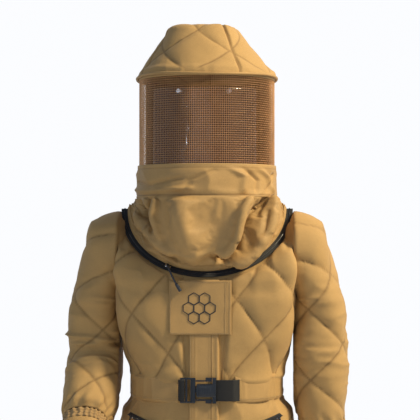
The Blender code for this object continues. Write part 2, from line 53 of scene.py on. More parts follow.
SHOULDER_Z, ELBOW = -0.097, np.array((0.250, -0.030, -0.325))
BELT_Z, BELT_TALL, BUCKLE_ASIDE = -0.380, 0.057, 0.016
VEIL_LOW, VEIL_HIGH = 0.092, 0.284
HOOD_X, HOOD_Y, HOOD_SQUARE = 0.1485, 0.158, 2.15
QUILT_W, QUILT_H = 0.122, 0.165
FACING = np.array((0, -1.0, 0))  # towards the viewer of the front
SIDES = (("left", 1), ("right", -1))
UP = np.array((0.0, 0.0, 1.0))


# ---------------------------------------------------------------- noise
def seeded_lattice(seed):
    return np.random.default_rng(seed).random((32, 32, 32))


LATTICES = [seeded_lattice(s) for s in (11, 23, 37)]


def value_noise(p, lattice):
    """Smooth noise from 0 to 1 at points p, repeating every 32 units."""
    base = np.floor(p).astype(int)
    f = p - base
    f = f * f * (3 - 2 * f)
    total = 0
    for corner in np.ndindex(2, 2, 2):
        index = (base + corner) % 32
        weight = np.prod(np.where(corner, f, 1 - f), axis=-1)
        total = total + lattice[index[..., 0], index[..., 1], index[..., 2]] * weight
    return total


def fbm(p, scale, octaves=3, which=0):
    """Layered noise centred on 0, about -0.5 to 0.5."""
    scale = np.asarray(scale, float)
    total, share = 0, 1.0
    for k in range(octaves):
        total = total + share * (value_noise(p * scale * 2**k + 5.3 * k, LATTICES[(which + k) % 3]) - 0.5)
        share *= 0.5
    return total


def folds(p, scale, sharp=2.0, which=0):
    """Soft ridges, 0 to 1, along the level lines of stretched noise."""
    return (1 - np.abs(2.4 * fbm(p, scale, 2, which)).clip(0, 1)) ** sharp


def smooth(x, low, high):
    """From 0 at low to 1 at high, eased at both ends; low may be the larger."""
    t = np.clip((x - low) / (high - low), 0, 1)
    return t * t * (3 - 2 * t)


def bell(x, width):
    """A soft bump of height 1 at x = 0."""
    return np.exp(-((x / width) ** 2))


# ---------------------------------------------------------------- section curves
def power(v, e):
    return np.sign(v) * np.abs(v) ** e


def oval(z, half_x, front, back, square=2.6, count=96, centre_x=0.0, grow=0.0, start=90):
    a = np.radians(start) + 2 * math.pi * np.arange(count) / count
    x = centre_x + (half_x + grow) * power(np.cos(a), 2 / square)
    reach = np.where(np.sin(a) < 0, front, back) + grow
    return np.stack([x, reach * power(np.sin(a), 2 / square), np.full(count, z)], 1)


def front_reach(z):
    return -FRONT_TOP[1] + (FRONT_TOP[2] - z) * math.tan(FRONT_LEAN)


BODY = np.array(
    [
        # height, half width, back reach, squareness
        (-0.600, 0.200, 0.165, 2.8),
        (-0.500, 0.192, 0.160, 2.7),
        (-0.440, 0.180, 0.145, 2.6),
        (-0.412, 0.161, 0.125, 2.6),
        (-0.348, 0.161, 0.125, 2.6),
        (-0.310, 0.174, 0.136, 2.8),
        (-0.250, 0.183, 0.148, 4.8),
        (-0.200, 0.186, 0.150, 7.5),
    ]
)


def body_section(z, grow=0.0, count=96, start=90):
    half, back, square = (np.interp(z, BODY[:, 0], BODY[:, k]) for k in (1, 2, 3))
    return oval(z, half, front_reach(z), back, square, count, grow=grow, start=start)


def ring_row(radius, lift=0.0, count=96, start=90):
    """Points round the collar ring; lift stands off it, away from the body."""
    a = np.radians(start) + 2 * math.pi * np.arange(count) / count
    x, s = radius * np.cos(a), radius * np.sin(a)
    y = np.where(s < 0, s * math.cos(RING_SLOPE), s * RING_BACK_Y)
    z = np.where(s < 0, s * math.sin(RING_SLOPE), -s * RING_BACK_Z)
    front = np.array((0, -math.sin(RING_SLOPE), math.cos(RING_SLOPE)))
    back = np.array((0, RING_BACK_Z, RING_BACK_Y)) / math.hypot(RING_BACK_Z, RING_BACK_Y)
    t = smooth(np.sin(a), -0.35, 0.35)[:, None]
    up = front * (1 - t) + back * t
    up = up / np.linalg.norm(up, axis=1)[:, None]
    return np.stack([x, y, z], 1) + up * lift


# ---------------------------------------------------------------- grids
def resample(row, columns, closed):
    """One row of points spread evenly by length."""
    line = np.vstack([row, row[:1]]) if closed else row
    run = np.r_[0, np.cumsum(np.linalg.norm(np.diff(line, axis=0), axis=1))]
    at = np.linspace(0, run[-1], columns + 1)[:-1] if closed else np.linspace(0, run[-1], columns)
    return np.stack([np.interp(at, run, line[:, k]) for k in range(3)], 1)


def loft(rings, rows, columns, closed=True, even=True):
    """A smooth (rows, columns, 3) grid through rings of matching points, first ring first."""
    rings = np.array(rings, float)
    step = np.linalg.norm(np.diff(rings, axis=0), axis=2).mean(1)
    t = np.r_[0, np.cumsum(step)] / step.sum()
    tangent = np.gradient(rings, t, axis=0)
    out = []
    for v in np.linspace(0, 1, rows):
        k = min(np.searchsorted(t, v, side="right") - 1, len(t) - 2)
        h = t[k + 1] - t[k]
        s = (v - t[k]) / h
        row = (
            (2 * s**3 - 3 * s**2 + 1) * rings[k]
            + (s**3 - 2 * s**2 + s) * h * tangent[k]
            + (3 * s**2 - 2 * s**3) * rings[k + 1]
            + (s**3 - s**2) * h * tangent[k + 1]
        )
        out.append(resample(row, columns, closed) if even or columns != len(row) else row)
    return np.array(out)


def normals(grid, closed):
    if closed:
        du = np.roll(grid, -1, axis=1) - np.roll(grid, 1, axis=1)
    else:
        du = np.gradient(grid, axis=1)
    n = np.cross(du, np.gradient(grid, axis=0))
    return n / (np.linalg.norm(n, axis=2)[..., None] + 1e-12)


def lengths(grid):
    """Distance run along the rows and up the columns, for laying out cloth patterns."""
    s = np.zeros(grid.shape[:2])
    s[:, 1:] = np.cumsum(np.linalg.norm(np.diff(grid, axis=1), axis=2), axis=1)
    t = np.zeros(grid.shape[:2])
    t[1:] = np.cumsum(np.linalg.norm(np.diff(grid, axis=0), axis=2), axis=0)
    return s, t


def grid_object(name, grid, mat, closed=True, wall=0.002, uv=None, crease=None, flip=False):
    """A mesh from a grid, with cloth coordinates in metres and, in its crease attribute, how much painted shade
    each point takes in seams and creases.
    """
    rows, columns = grid.shape[:2]
    index = np.arange(rows * columns).reshape(rows, columns)
    right = np.roll(index, -1, axis=1) if closed else index[:, 1:]
    left = index if closed else index[:, :-1]
    quads = np.stack([left[:-1], right[:-1], right[1:], left[1:]], -1).reshape(-1, 4)
    if flip:
        quads = quads[:, ::-1]
    mesh = bpy.data.meshes.new(name)
    mesh.from_pydata(grid.reshape(-1, 3).tolist(), [], quads.tolist())
    if uv is None:
        uv = np.stack(lengths(grid), -1)
    flat = uv.reshape(-1, 2)[quads.reshape(-1)]
    if closed:  # the last column's quads run on instead of jumping back to the first column
        per = flat.reshape(-1, 4, 2)
        last = (np.arange(len(per)) % columns) == columns - 1
        step = uv[0, 1, 0] - uv[0, 0, 0]
        far = [1, 2] if not flip else [1, 2]
        for k in far:
            per[last, k, 0] = per[last, 0 if k == 1 else 3, 0] + step
        flat = per.reshape(-1, 2)
    mesh.uv_layers.new(name="cloth").data.foreach_set("uv", flat.astype(np.float32).ravel())
    # the crease attribute holds the amount of painted shade in seams and creases
    crease_shade = mesh.attributes.new("crease", "FLOAT", "POINT")
    values = np.zeros(rows * columns) if crease is None else np.asarray(crease).reshape(-1)
    crease_shade.data.foreach_set("value", values.astype(np.float32))
    mesh.shade_smooth()
    obj = bpy.data.objects.new(name, mesh)
    bpy.context.collection.objects.link(obj)
    mesh.materials.append(mat)
    if wall:
        shell = obj.modifiers.new("cloth", "SOLIDIFY")
        shell.thickness = wall
        shell.offset = -1
    return obj


def quilting(s, t, tall=0.0055, width=QUILT_W, height=QUILT_H, shift_s=0.0, shift_t=0.0):
    """Height of diamond quilting and how close each point is to a stitch line, 1 on it."""
    u, v = (s - shift_s) / width, (t - shift_t) / height
    near = [np.abs(w - np.round(w)) * 2 for w in (u + v, u - v)]
    puff = (1 - (1 - near[0]) ** 3.6) * (1 - (1 - near[1]) ** 3.6)
    line = bell(np.minimum(*near), 0.042)
    return tall * puff**0.8, line


def puckers(p, line, amount=0.0011):
    """Small gathers that run across the stitch lines."""
    return amount * fbm(p, 62, 3, 1) * (0.35 + 2.2 * line)


# ---------------------------------------------------------------- materials
def shader_graph(name):
    mat = bpy.data.materials.new(name)
    mat.use_nodes = True
    nodes, links = mat.node_tree.nodes, mat.node_tree.links
    return mat, nodes, links, nodes["Principled BSDF"]


def add_node(nodes, kind, **values):
    node = nodes.new(kind)
    for key, value in values.items():
        if key in node.inputs:
            node.inputs[key].default_value = value
        else:
            setattr(node, key, value)
    return node


def mixed(nodes, links, factor, first, second, blend="MIX"):
    """A colour mix whose inputs are sockets or plain colours."""
    mix = add_node(nodes, "ShaderNodeMix", data_type="RGBA", blend_type=blend)
    for k, value in ((0, factor), (6, first), (7, second)):
        if isinstance(value, (bpy.types.NodeSocket,)):
            links.new(value, mix.inputs[k])
        else:
            mix.inputs[k].default_value = value
    return mix.outputs[2]


def maths(nodes, links, how, *values):
    node = add_node(nodes, "ShaderNodeMath", operation=how)
    for k, value in enumerate(values):
        if isinstance(value, bpy.types.NodeSocket):
            links.new(value, node.inputs[k])
        else:
            node.inputs[k].default_value = value
    return node.outputs[0]


def cloth_material(name, colour, shade_colour, pitch=0.0007, rough=0.80, sheen=0.06, weave=0.25, mottle=0.16):
    """Twill cloth: diagonal threads from the cloth coordinates, uneven dye, and painted shade darkening seams
    and creases.
    """
    mat, nodes, links, shader = shader_graph(name)
    uv = add_node(nodes, "ShaderNodeUVMap", uv_map="cloth")
    scaled = add_node(nodes, "ShaderNodeVectorMath", operation="SCALE", Scale=1 / pitch)
    links.new(uv.outputs[0], scaled.inputs[0])
    twill = add_node(nodes, "ShaderNodeTexWave", wave_type="BANDS", bands_direction="DIAGONAL", Scale=0.32,
                     Distortion=0.6)
    links.new(scaled.outputs[0], twill.inputs["Vector"])
    place = add_node(nodes, "ShaderNodeTexCoord").outputs["Object"]
    broad = add_node(nodes, "ShaderNodeTexNoise", Scale=14.0, Detail=4.0, Roughness=0.6)
    fine = add_node(nodes, "ShaderNodeTexNoise", Scale=420.0, Detail=3.0, Roughness=0.7)
    links.new(place, broad.inputs["Vector"])
    links.new(place, fine.inputs["Vector"])
    pale = tuple(min(1.0, c * 1.16) for c in colour[:3]) + (1,)
    deep = tuple(c * (1 - mottle) for c in colour[:3]) + (1,)
    tone = mixed(nodes, links, broad.outputs[0], deep, pale)
    threads = maths(nodes, links, "MULTIPLY_ADD", twill.outputs["Fac"], 0.14, 0.88)
    grain = maths(nodes, links, "MULTIPLY_ADD", fine.outputs[0], 0.26, 0.87)
    value = maths(nodes, links, "MULTIPLY", threads, grain)
    grey = add_node(nodes, "ShaderNodeCombineColor")
    for k in range(3):
        links.new(value, grey.inputs[k])
    woven = mixed(nodes, links, 1.0, tone, grey.outputs[0], "MULTIPLY")
    # Painted shade: the crease attribute darkens the cloth towards the shade colour along seams, hems and
    # creases
    seam = add_node(nodes, "ShaderNodeAttribute", attribute_name="crease")
    crease_shade = maths(nodes, links, "MULTIPLY", seam.outputs["Fac"], 0.6)
    links.new(mixed(nodes, links, crease_shade, woven, (*shade_colour, 1)), shader.inputs["Base Color"])
    uneven = maths(nodes, links, "MULTIPLY_ADD", broad.outputs[0], 0.16, rough - 0.08)
    links.new(uneven, shader.inputs["Roughness"])
    shader.inputs["Sheen Weight"].default_value = sheen
    shader.inputs["Sheen Roughness"].default_value = 0.5
    height = maths(nodes, links, "ADD", twill.outputs["Fac"], fine.outputs[0])
    bump = add_node(nodes, "ShaderNodeBump", Strength=weave, Distance=0.0004)
    links.new(height, bump.inputs["Height"])
    links.new(bump.outputs[0], shader.inputs["Normal"])
    return mat


def moulded_material(name, colour, rough, metal=0.0, grain=260.0, bump_by=0.12, coat=0.0):
    """Plastic or metal with faint mottling, fine grain and scuffed patches."""
    mat, nodes, links, shader = shader_graph(name)
    place = add_node(nodes, "ShaderNodeTexCoord").outputs["Object"]
    fine = add_node(nodes, "ShaderNodeTexNoise", Scale=grain, Detail=5.0)
    broad = add_node(nodes, "ShaderNodeTexNoise", Scale=28.0, Detail=4.0)
    links.new(place, fine.inputs["Vector"])
    links.new(place, broad.inputs["Vector"])
    low, high = tuple(c * 0.8 for c in colour) + (1,), tuple(min(1, c * 1.35 + 0.004) for c in colour) + (1,)
    links.new(mixed(nodes, links, broad.outputs[0], low, high), shader.inputs["Base Color"])
    links.new(maths(nodes, links, "MULTIPLY_ADD", broad.outputs[0], 0.3, max(0.02, rough - 0.15)),
              shader.inputs["Roughness"])
    shader.inputs["Metallic"].default_value = metal
    shader.inputs["Coat Weight"].default_value = coat
    bump = add_node(nodes, "ShaderNodeBump", Strength=bump_by, Distance=0.0003)
    links.new(fine.outputs[0], bump.inputs["Height"])
    links.new(bump.outputs[0], shader.inputs["Normal"])
    return mat


def clear_material(name):
    """Clear flexible sheet, faintly smeared."""
    mat, nodes, links, shader = shader_graph(name)
    place = add_node(nodes, "ShaderNodeTexCoord").outputs["Object"]
    smear = add_node(nodes, "ShaderNodeTexNoise", Scale=30.0, Detail=5.0)
    links.new(place, smear.inputs["Vector"])
    links.new(maths(nodes, links, "MULTIPLY_ADD", smear.outputs[0], 0.14, 0.02), shader.inputs["Roughness"])
    links.new(mixed(nodes, links, smear.outputs[0], (0.80, 0.86, 0.92, 1), (0.95, 0.97, 1.0, 1)),
              shader.inputs["Base Color"])
    shader.inputs["IOR"].default_value = 1.45
    shader.inputs["Transmission Weight"].default_value = 1.0
    shader.inputs["Coat Weight"].default_value = 0.6
    shader.inputs["Coat Roughness"].default_value = 0.12
    bump = add_node(nodes, "ShaderNodeBump", Strength=0.1, Distance=0.002)
    links.new(smear.outputs[0], bump.inputs["Height"])
    links.new(bump.outputs[0], shader.inputs["Normal"])
    return mat


# the second colour is painted shade, which seams and creases darken towards
TAN, SEAM_SHADE = (0.47, 0.290, 0.110), (0.13, 0.068, 0.022)
QUILT = cloth_material("quilted_cotton", TAN, SEAM_SHADE)
TWILL = cloth_material("plain_twill", (0.455, 0.277, 0.103), SEAM_SHADE, rough=0.66, sheen=0.06)
GATHER = cloth_material("gathered_cotton", (0.42, 0.265, 0.115), SEAM_SHADE)
# Painted shade: near-black brown cloth for the sheet that stands in for the hood's shaded inside
INTERIOR_SHADE = cloth_material("interior_shade_cloth", (0.085, 0.034, 0.013), (0.03, 0.012, 0.006))
THREAD = cloth_material("thread", (0.52, 0.36, 0.18), SEAM_SHADE, pitch=0.0004)
# the second colour is painted shade for creases in the black webbing
BLACK, BLACK_CREASE_SHADE = (0.012, 0.012, 0.014), (0.003, 0.003, 0.003)
WEBBING = cloth_material("black_webbing", BLACK, BLACK_CREASE_SHADE, pitch=0.0016, rough=0.7,
                         weave=0.7)
PLASTIC = moulded_material("black_plastic", (0.012, 0.016, 0.026), 0.32, coat=0.4)
METAL = moulded_material("zip_metal", (0.62, 0.62, 0.64), 0.28, 1.0)
WIRE = moulded_material("coppery_wire", (0.60, 0.33, 0.16), 0.45, 0.6)
CLEAR = clear_material("clear_sheet")
INK = moulded_material("black_print", (0.02, 0.02, 0.025), 0.6)


# ---------------------------------------------------------------- small geometry
def joined(name, parts, mat):
    """Bmesh parts, each (verts, faces), as one object."""
    verts, faces, base = [], [], 0
    for v, f in parts:
        verts.extend(v)
        faces.extend([tuple(i + base for i in face) for face in f])
        base += len(v)
    mesh = bpy.data.meshes.new(name)
    mesh.from_pydata([tuple(map(float, p)) for p in verts], [], faces)
    mesh.uv_layers.new(name="cloth")
    mesh.shade_smooth()
    mesh.set_sharp_from_angle(angle=math.radians(50))
    obj = bpy.data.objects.new(name, mesh)
    bpy.context.collection.objects.link(obj)
    mesh.materials.append(mat)
    return obj


def rod(points, radius, sides=6, closed=False, flat=1.0, hint=UP):
    """A tube along points; flat squeezes it along the hint direction."""
    p = np.array(points, float)
    n = len(p)
    if closed:
        tangent = np.roll(p, -1, axis=0) - np.roll(p, 1, axis=0)
    else:
        tangent = np.gradient(p, axis=0)
    tangent /= np.linalg.norm(tangent, axis=1)[:, None]
    hint = np.broadcast_to(hint, p.shape)
    side = np.cross(tangent, hint)
    bad = np.linalg.norm(side, axis=1) < 1e-3
    side[bad] = np.cross(tangent[bad], np.array((1.0, 0.2, 0.1)))
    side /= np.linalg.norm(side, axis=1)[:, None]
    top = np.cross(side, tangent)
    radii = np.broadcast_to(radius, n)
    a = 2 * math.pi * np.arange(sides) / sides
    ring = side[:, None] * np.cos(a)[None, :, None] + top[:, None] * (np.sin(a) * flat)[None, :, None]
    verts = (p[:, None] + ring * radii[:, None, None]).reshape(-1, 3)
    faces = []
    for j in range(n if closed else n - 1):
        k = (j + 1) % n
        for i in range(sides):
            m = (i + 1) % sides
            faces.append((j * sides + i, j * sides + m, k * sides + m, k * sides + i))
    if not closed:
        faces.append(tuple(range(sides))[::-1])
        faces.append(tuple((n - 1) * sides + i for i in range(sides)))
    return verts, faces


def stitches(name, lines, lifts, mat=THREAD, pitch=0.0042, radius=0.00042):
    """Dashes of thread along lines of points, lying on the cloth; lifts point off it."""
    parts = []
    for line, lift in zip(lines, lifts):
        line = np.array(line, float)
        run = np.r_[0, np.cumsum(np.linalg.norm(np.diff(line, axis=0), axis=1))]
        lift = np.broadcast_to(lift, line.shape)
        for start in np.arange(0.001, run[-1] - pitch, pitch):
            at = start + pitch * np.array((0.0, 0.2, 0.5, 0.62))
            p = np.stack([np.interp(at, run, line[:, k]) for k in range(3)], 1)
            n = np.stack([np.interp(at, run, lift[:, k]) for k in range(3)], 1)
            p = p + n * np.array((-0.0002, 0.0003, 0.0003, -0.0002))[:, None]
            parts.append(rod(p, radius, 5, hint=n))
    return joined(name, parts, mat)


def rounded_box(name, low, high, bevel, mat, turn=None, at=(0, 0, 0), segments=3):
    low, high = Vector(low), Vector(high)
    bm = bmesh.new()
    bmesh.ops.create_cube(bm, size=1)
    bmesh.ops.transform(bm, matrix=Matrix.Translation((low + high) / 2) @ Matrix.Diagonal((*(high - low), 1)),
                        verts=bm.verts)
    bmesh.ops.bevel(bm, geom=bm.edges[:], offset=bevel, segments=segments, affect="EDGES", profile=0.6)
    if turn is not None:
        bmesh.ops.transform(bm, matrix=turn, verts=bm.verts)
    bmesh.ops.translate(bm, vec=Vector(at), verts=bm.verts)
    mesh = bpy.data.meshes.new(name)
    bm.to_mesh(mesh)
    bm.free()
    mesh.uv_layers.new(name="cloth")
    mesh.shade_smooth()
    mesh.set_sharp_from_angle(angle=math.radians(35))
    obj = bpy.data.objects.new(name, mesh)
    bpy.context.collection.objects.link(obj)
    mesh.materials.append(mat)
    return obj


def finish_piece(obj, body, nodes=()):
    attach(obj, body)
    if nodes:
        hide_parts(*nodes)
    return obj


# ---------------------------------------------------------------- torso
def torso():
    """The quilted body: chest, back and shoulders, from the belt to the collar zip."""
    rings = [body_section(z, 0.001) for z in (-0.3805, -0.365, -0.348, -0.310, -0.280, -0.250, -0.200)]
    rim = ring_row(0.1865, -0.0030)
    theta = np.abs(np.degrees(np.arctan2(rim[:, 0], -rim[:, 1] / math.cos(RING_SLOPE))))
    corner = smooth(theta, 8, 38) * smooth(theta, 92, 66)
    point = smooth(theta, 34, 60) * smooth(theta, 100, 86)
    for k, wide, deep, more in (
        # share of the way to the zip, then how far the shoulder's corner stands out
        (0.35, 0.016, 0.004, 0.006),
        (0.70, 0.024, 0.013, 0.016),
        (0.88, 0.013, 0.008, 0.020),
        (1.00, 0.0, 0.0, 0.0),
    ):
        row = rings[6] * (1 - k) + rim * k
        row[:, 0] = np.sign(row[:, 0]) * np.minimum(np.abs(row[:, 0]) + wide * corner, 0.1865)
        row[:, 1] -= deep * corner + more * point
        rings.append(row)
    grid = loft(rings, 112, 320)
    s, t = lengths(grid)
    whole = s[:, -1:] + s[:, 1:2]
    s = s / whole * 1.074 - 0.537  # measured from the front centre, the wearer's left positive
    x, z = grid[..., 0], grid[..., 2]
    left = s > 0
    shift_s, shift_t = np.where(left, 0.122, -0.138), np.where(left, -0.110, -0.2226)
    puff, line = quilting(s, z, 0.0074, shift_s=shift_s, shift_t=shift_t)
    y = grid[..., 1]
    placket = smooth(np.abs(s), 0.040, 0.052) * smooth(-y, -0.02, 0.02) + smooth(y, -0.02, 0.02)
    edge = smooth(t[-1:] - t, 0.004, 0.016)
    waist = smooth(t, 0.0, 0.022)
    armhole = np.hypot(grid[..., 1], z - SHOULDER_Z)
    side = smooth(np.abs(x), 0.165, 0.178) * smooth(armhole, 0.100, 0.086)
    keep = placket.clip(0, 1) * edge * waist * (1 - side)
    height = puff * keep + puckers(grid, line * keep, 0.0015)
    height = height + 0.004 * folds(grid, (9, 9, 26), 2, 1) * smooth(z, -0.30, -0.37) * waist * keep
    height = height + 0.0030 * folds(grid, (22, 22, 7), 3, 2) * smooth(z, -0.26, -0.15) * edge * (1 - side)
    height = height + 0.003 * fbm(grid, 14, 2) * keep
    grid = grid + normals(grid, True) * height[..., None]
    uv = np.stack([s, z], -1)
    # painted shade along the quilting lines, through the crease attribute
    obj = grid_object("quilted_body", grid, QUILT, uv=uv, crease=line * keep)
    finish_piece(obj, "suit", ["torso_shell"])
    seams(grid, s)


def seams(grid, s):
    """Front panel seams that run from the collar to the belt, a little raised."""
    parts = []
    for offset in (-0.045, 0.045):
        column = np.abs(s[5] - offset).argmin()
        n = normals(grid, True)[4:-4, column]
        parts.append(rod(grid[4:-4, column] + n * 0.0002, 0.0011, 6, hint=n))
    obj = joined("front_panel_seams", parts, TWILL)
    finish_piece(obj, "suit")


# ---------------------------------------------------------------- trousers
def leg_outline(z, outer_count=150, inner_count=40):
    """One leg's outline at a height, wearer's left: an outer run and an inner run of matching points."""
    levels = np.array(
        [
            # height, centre, half width, front, back, squareness
            (-1.400, 0.127, 0.0655, 0.069, 0.073, 2.1),
            (-1.375, 0.127, 0.0670, 0.071, 0.075, 2.1),
            (-1.360, 0.127, 0.0655, 0.070, 0.074, 2.1),
            (-1.330, 0.1265, 0.0700, 0.074, 0.078, 2.1),
            (-1.180, 0.124, 0.0790, 0.082, 0.086, 2.1),
            (-0.960, 0.119, 0.0850, 0.094, 0.090, 2.2),
            (-0.800, 0.113, 0.0930, 0.110, 0.115, 2.2),
            (-0.705, 0.1040, 0.0985, 0.135, 0.140, 2.5),
            (-0.655, 0.1030, 0.1005, 0.148, 0.153, 2.9),
            (-0.610, 0.1005, 0.0995, 0.156, 0.163, 3.2),
        ]
    )
    centre, half, front, back, square = (np.interp(z, levels[:, 0], levels[:, k]) for k in range(1, 6))

    def tube(a):
        x = centre + half * power(np.cos(a), 2 / square)
        reach = np.where(np.sin(a) < 0, front, back)
        return np.stack([x, reach * power(np.sin(a), 2 / square), np.full(len(a), z)], 1)

    corner = np.radians(112)
    around = resample(tube(np.linspace(-corner, corner, 200)), outer_count, False)
    inside = resample(tube(np.linspace(corner, 2 * math.pi - corner, 90)), inner_count + 2, False)[1:-1]
    if z > -0.72:
        section = body_section(max(z, -0.60), 0.0012, 720, -90)[:361]
        section[:, 2] = z
        section[:, 0] = section[:, 0].clip(0.0008)
        shell = resample(section, outer_count, False)
        web = np.linspace(shell[-1], shell[0], inner_count + 2)[1:-1]
        k = smooth(z, -0.72, -0.655)
        around, inside = around * (1 - k) + shell * k, inside * (1 - k) + web * k
    return np.vstack([around, inside])


def trousers():
    """Two legs joined at the centre seam: hips to above the knee, then knee to hem."""
    spans = (("trouser", -0.3815, -0.840, 108), ("lower_leg", -0.8385, -1.400, 124))
    for name, top, low, rows in spans:
        heights = np.linspace(low, top, rows)
        base = np.array([leg_outline(z) for z in heights])
        n = normals(base, True)
        s = lengths(base)[0]
        z = base[..., 2]
        puff, line = quilting(s, z, 0.0055, shift_s=0.02, shift_t=-0.110)
        column = np.arange(base.shape[1])[None, :]
        outer = smooth(column, 2, 10) * smooth(column, 148, 138) * np.ones_like(z)
        keep = outer * smooth(z, top, top - 0.020) * smooth(z, low, low + 0.012)
        if name == "trouser":  # the front yoke above the pockets is plain
            keep = keep * (1 - smooth(base[..., 1], 0.0, -0.05) * smooth(z, -0.520, -0.475))
        keep = keep * (1 - smooth(z, -1.345, -1.360))
        height = puff * keep + puckers(base, line * keep)
        knee, crotch = bell(z + 0.96, 0.09), bell(z + 0.68, 0.06)
        behind = smooth(base[..., 1], -0.02, 0.05)
        height = height + 0.006 * knee * (folds(base, (9, 9, 34), 2) - 0.3) * behind
        height = height + 0.004 * (folds(base, (10, 10, 24), 2, 2) - 0.3) * crotch * outer
        height = height + 0.005 * (folds(base, (26, 26, 7), 2, 1) - 0.3) * smooth(z, -0.50, -0.42) * outer
        height = height + 0.003 * fbm(base, 12, 2) * keep
        gather = smooth(z, -1.352, -1.362)
        height = height + gather * 0.0016 * np.sin(s * 900 + 4 * fbm(base, 30, 1))
        for side, sign in SIDES:
            grid = base + n * height[..., None]
            grid = grid * np.array((sign, 1, 1))
            # painted shade along the quilting lines, through the crease attribute
            obj = grid_object(f"{name}_{side}", grid, QUILT, uv=np.stack([s, z], -1), crease=line * keep,
                              flip=sign < 0)
            if name == "trouser":
                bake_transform(obj)
                nodes = [f"seat_{side}", f"thigh_{side}"] + (["hip_shell"] if sign > 0 else [])
            else:
                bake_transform(obj)
                nodes = [f"knee_fold_{side}", f"shin_{side}", f"ankle_elastic_{side}"]
            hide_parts(*nodes)


# ---------------------------------------------------------------- sleeves
def fan_ring(inner, outer, half_y, square=2.3, count=96):
    inner, outer = np.array((inner[0], 0, inner[1])), np.array((outer[0], 0, outer[1]))
    a = 2 * math.pi * np.arange(count) / count + math.pi
    across = (outer - inner) / 2 * power(np.cos(a), 2 / square)[:, None]
    side = np.array((0, half_y, 0)) * power(np.sin(a), 2 / square)[:, None]
    return (inner + outer) / 2 + across + side


def bend_forearm(points, degrees, blend_low=-0.370, blend_high=-0.280):
    """Points below the elbow turned forward about it, smoothly between two heights."""
    if not degrees:
        return points
    z = points[..., 2]
    angle = math.radians(degrees) * smooth(z, blend_high, blend_low)
    y, h = points[..., 1] - ELBOW[1], z - ELBOW[2]
    out = points.copy()
    out[..., 1] = ELBOW[1] + y * np.cos(angle) + h * np.sin(angle)
    out[..., 2] = ELBOW[2] - y * np.sin(angle) + h * np.cos(angle)
    return out


SLEEVE = (
    # inner point across and up, outer point across and up, half width front to back, squareness
    (0.1660, SHOULDER_Z - 0.050, 0.1660, SHOULDER_Z + 0.050, 0.0500, 2.0),
    (0.1750, SHOULDER_Z - 0.062, 0.1750, SHOULDER_Z + 0.062, 0.0620, 2.0),
    (0.1850, SHOULDER_Z - 0.079, 0.1850, SHOULDER_Z + 0.079, 0.0790, 2.0),
    (0.1898, SHOULDER_Z - 0.087, 0.1898, SHOULDER_Z + 0.090, 0.0870, 2.0),
    (0.1905, -0.1880, 0.2130, -0.0100, 0.0870, 2.1),
    (0.1910, -0.1930, 0.2460, -0.0265, 0.0850, 2.2),
    (0.1915, -0.1975, 0.2620, -0.0780, 0.0820, 2.3),
    (0.1920, -0.2020, 0.2780, -0.1460, 0.0790, 2.3),
    (0.1925, -0.2100, 0.2940, -0.2100, 0.0770, 2.3),
    (0.1905, -0.2450, 0.2990, -0.2450, 0.0745, 2.3),
    (0.1900, -0.2800, 0.3010, -0.2800, 0.0725, 2.3),
    (0.1900, -0.3250, 0.3030, -0.3250, 0.0715, 2.3),
    (0.1910, -0.3700, 0.3030, -0.3700, 0.0695, 2.3),
    (0.1955, -0.4200, 0.3000, -0.4200, 0.0645, 2.3),
    (0.2020, -0.4550, 0.2990, -0.4550, 0.0575, 2.3),
    (0.2070, -0.4735, 0.3000, -0.4735, 0.0510, 2.3),
)


def sleeves():
    """Each quilted sleeve in one piece from the armhole to the elastic cuff, then the plain gauntlet."""
    for side, sign in SIDES:
        # the wearer's right arm is bent and more creased
        degrees, shift_t, bend_folds, loose, which = (0, 0.064, 1.2, 0.0030, 0) if sign > 0 else (
            45, 0.110, 3.0, 0.0050, 1)
        rings = [fan_ring((x_in, z_in), (x_out, z_out), half_y, square)
                 for x_in, z_in, x_out, z_out, half_y, square in SLEEVE]
        grid = loft(rings[::-1], 128, 132)
        s, t = lengths(grid)
        run = t[-1:] - t - 0.036  # down the sleeve from the armhole
        z = grid[..., 2]
        puff, line = quilting(s, -z, 0.0070, 0.164, 0.152, shift_s=0.080, shift_t=shift_t)
        up = normals(grid, True)[..., 2]
        inner = 0.5 * smooth(run, -0.002, -0.010) * smooth(run, -0.034, -0.024)
        keep = (smooth(run, 0.003, 0.014) + inner) * smooth(t, 0.0, 0.018)
        keep = keep * (1 - 0.8 * smooth(up, 0.55, 0.85))
        height = puff * keep + puckers(grid, line * keep, 0.0017)
        crease = bell(z + 0.315, 0.060)
        inner_bend = 0.45 + 0.55 * smooth(grid[..., 1], 0.03, -0.03)
        bends = folds(grid, (7, 7, 38), 2, which) - 0.25
        height = height + 0.0050 * bend_folds * crease * inner_bend * bends
        height = height + 0.0050 * bell(z + 0.20, 0.06) * (folds(grid, (9, 9, 26), 2, 2) - 0.3) * keep
        height = height + loose * fbm(grid, 15, 2, 1) * keep
        gather = smooth(t, 0.050, 0.004)
        height = height + gather * 0.0030 * np.sin(s * 260 + 5 * fbm(grid, 22, 2)) * smooth(t, 0.0, 0.012)
        grid = grid + normals(grid, True) * height[..., None]
        # Below its sewn-in head the sleeve stays outside the armhole plane, so it can turn beside the body
        grid[..., 0] = np.where(run > 0.004, grid[..., 0].clip(0.1893), grid[..., 0])
        grid = bend_forearm(grid, degrees) * np.array((sign, 1, 1))
        uv = np.stack([s, run], -1)
        # painted shade along the quilting lines, through the crease attribute
        obj = grid_object(f"sleeve_{side}", grid, QUILT, uv=uv, crease=line * keep, flip=sign < 0)
        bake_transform(obj)
        parts = ("sleeve_head", "upper_sleeve", "elbow_fold", "forearm_sleeve")
        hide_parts(*(f"{part}_{side}" for part in parts))
        armhole_seam(side, sign)
        cuff_and_gauntlet(side, sign, degrees)


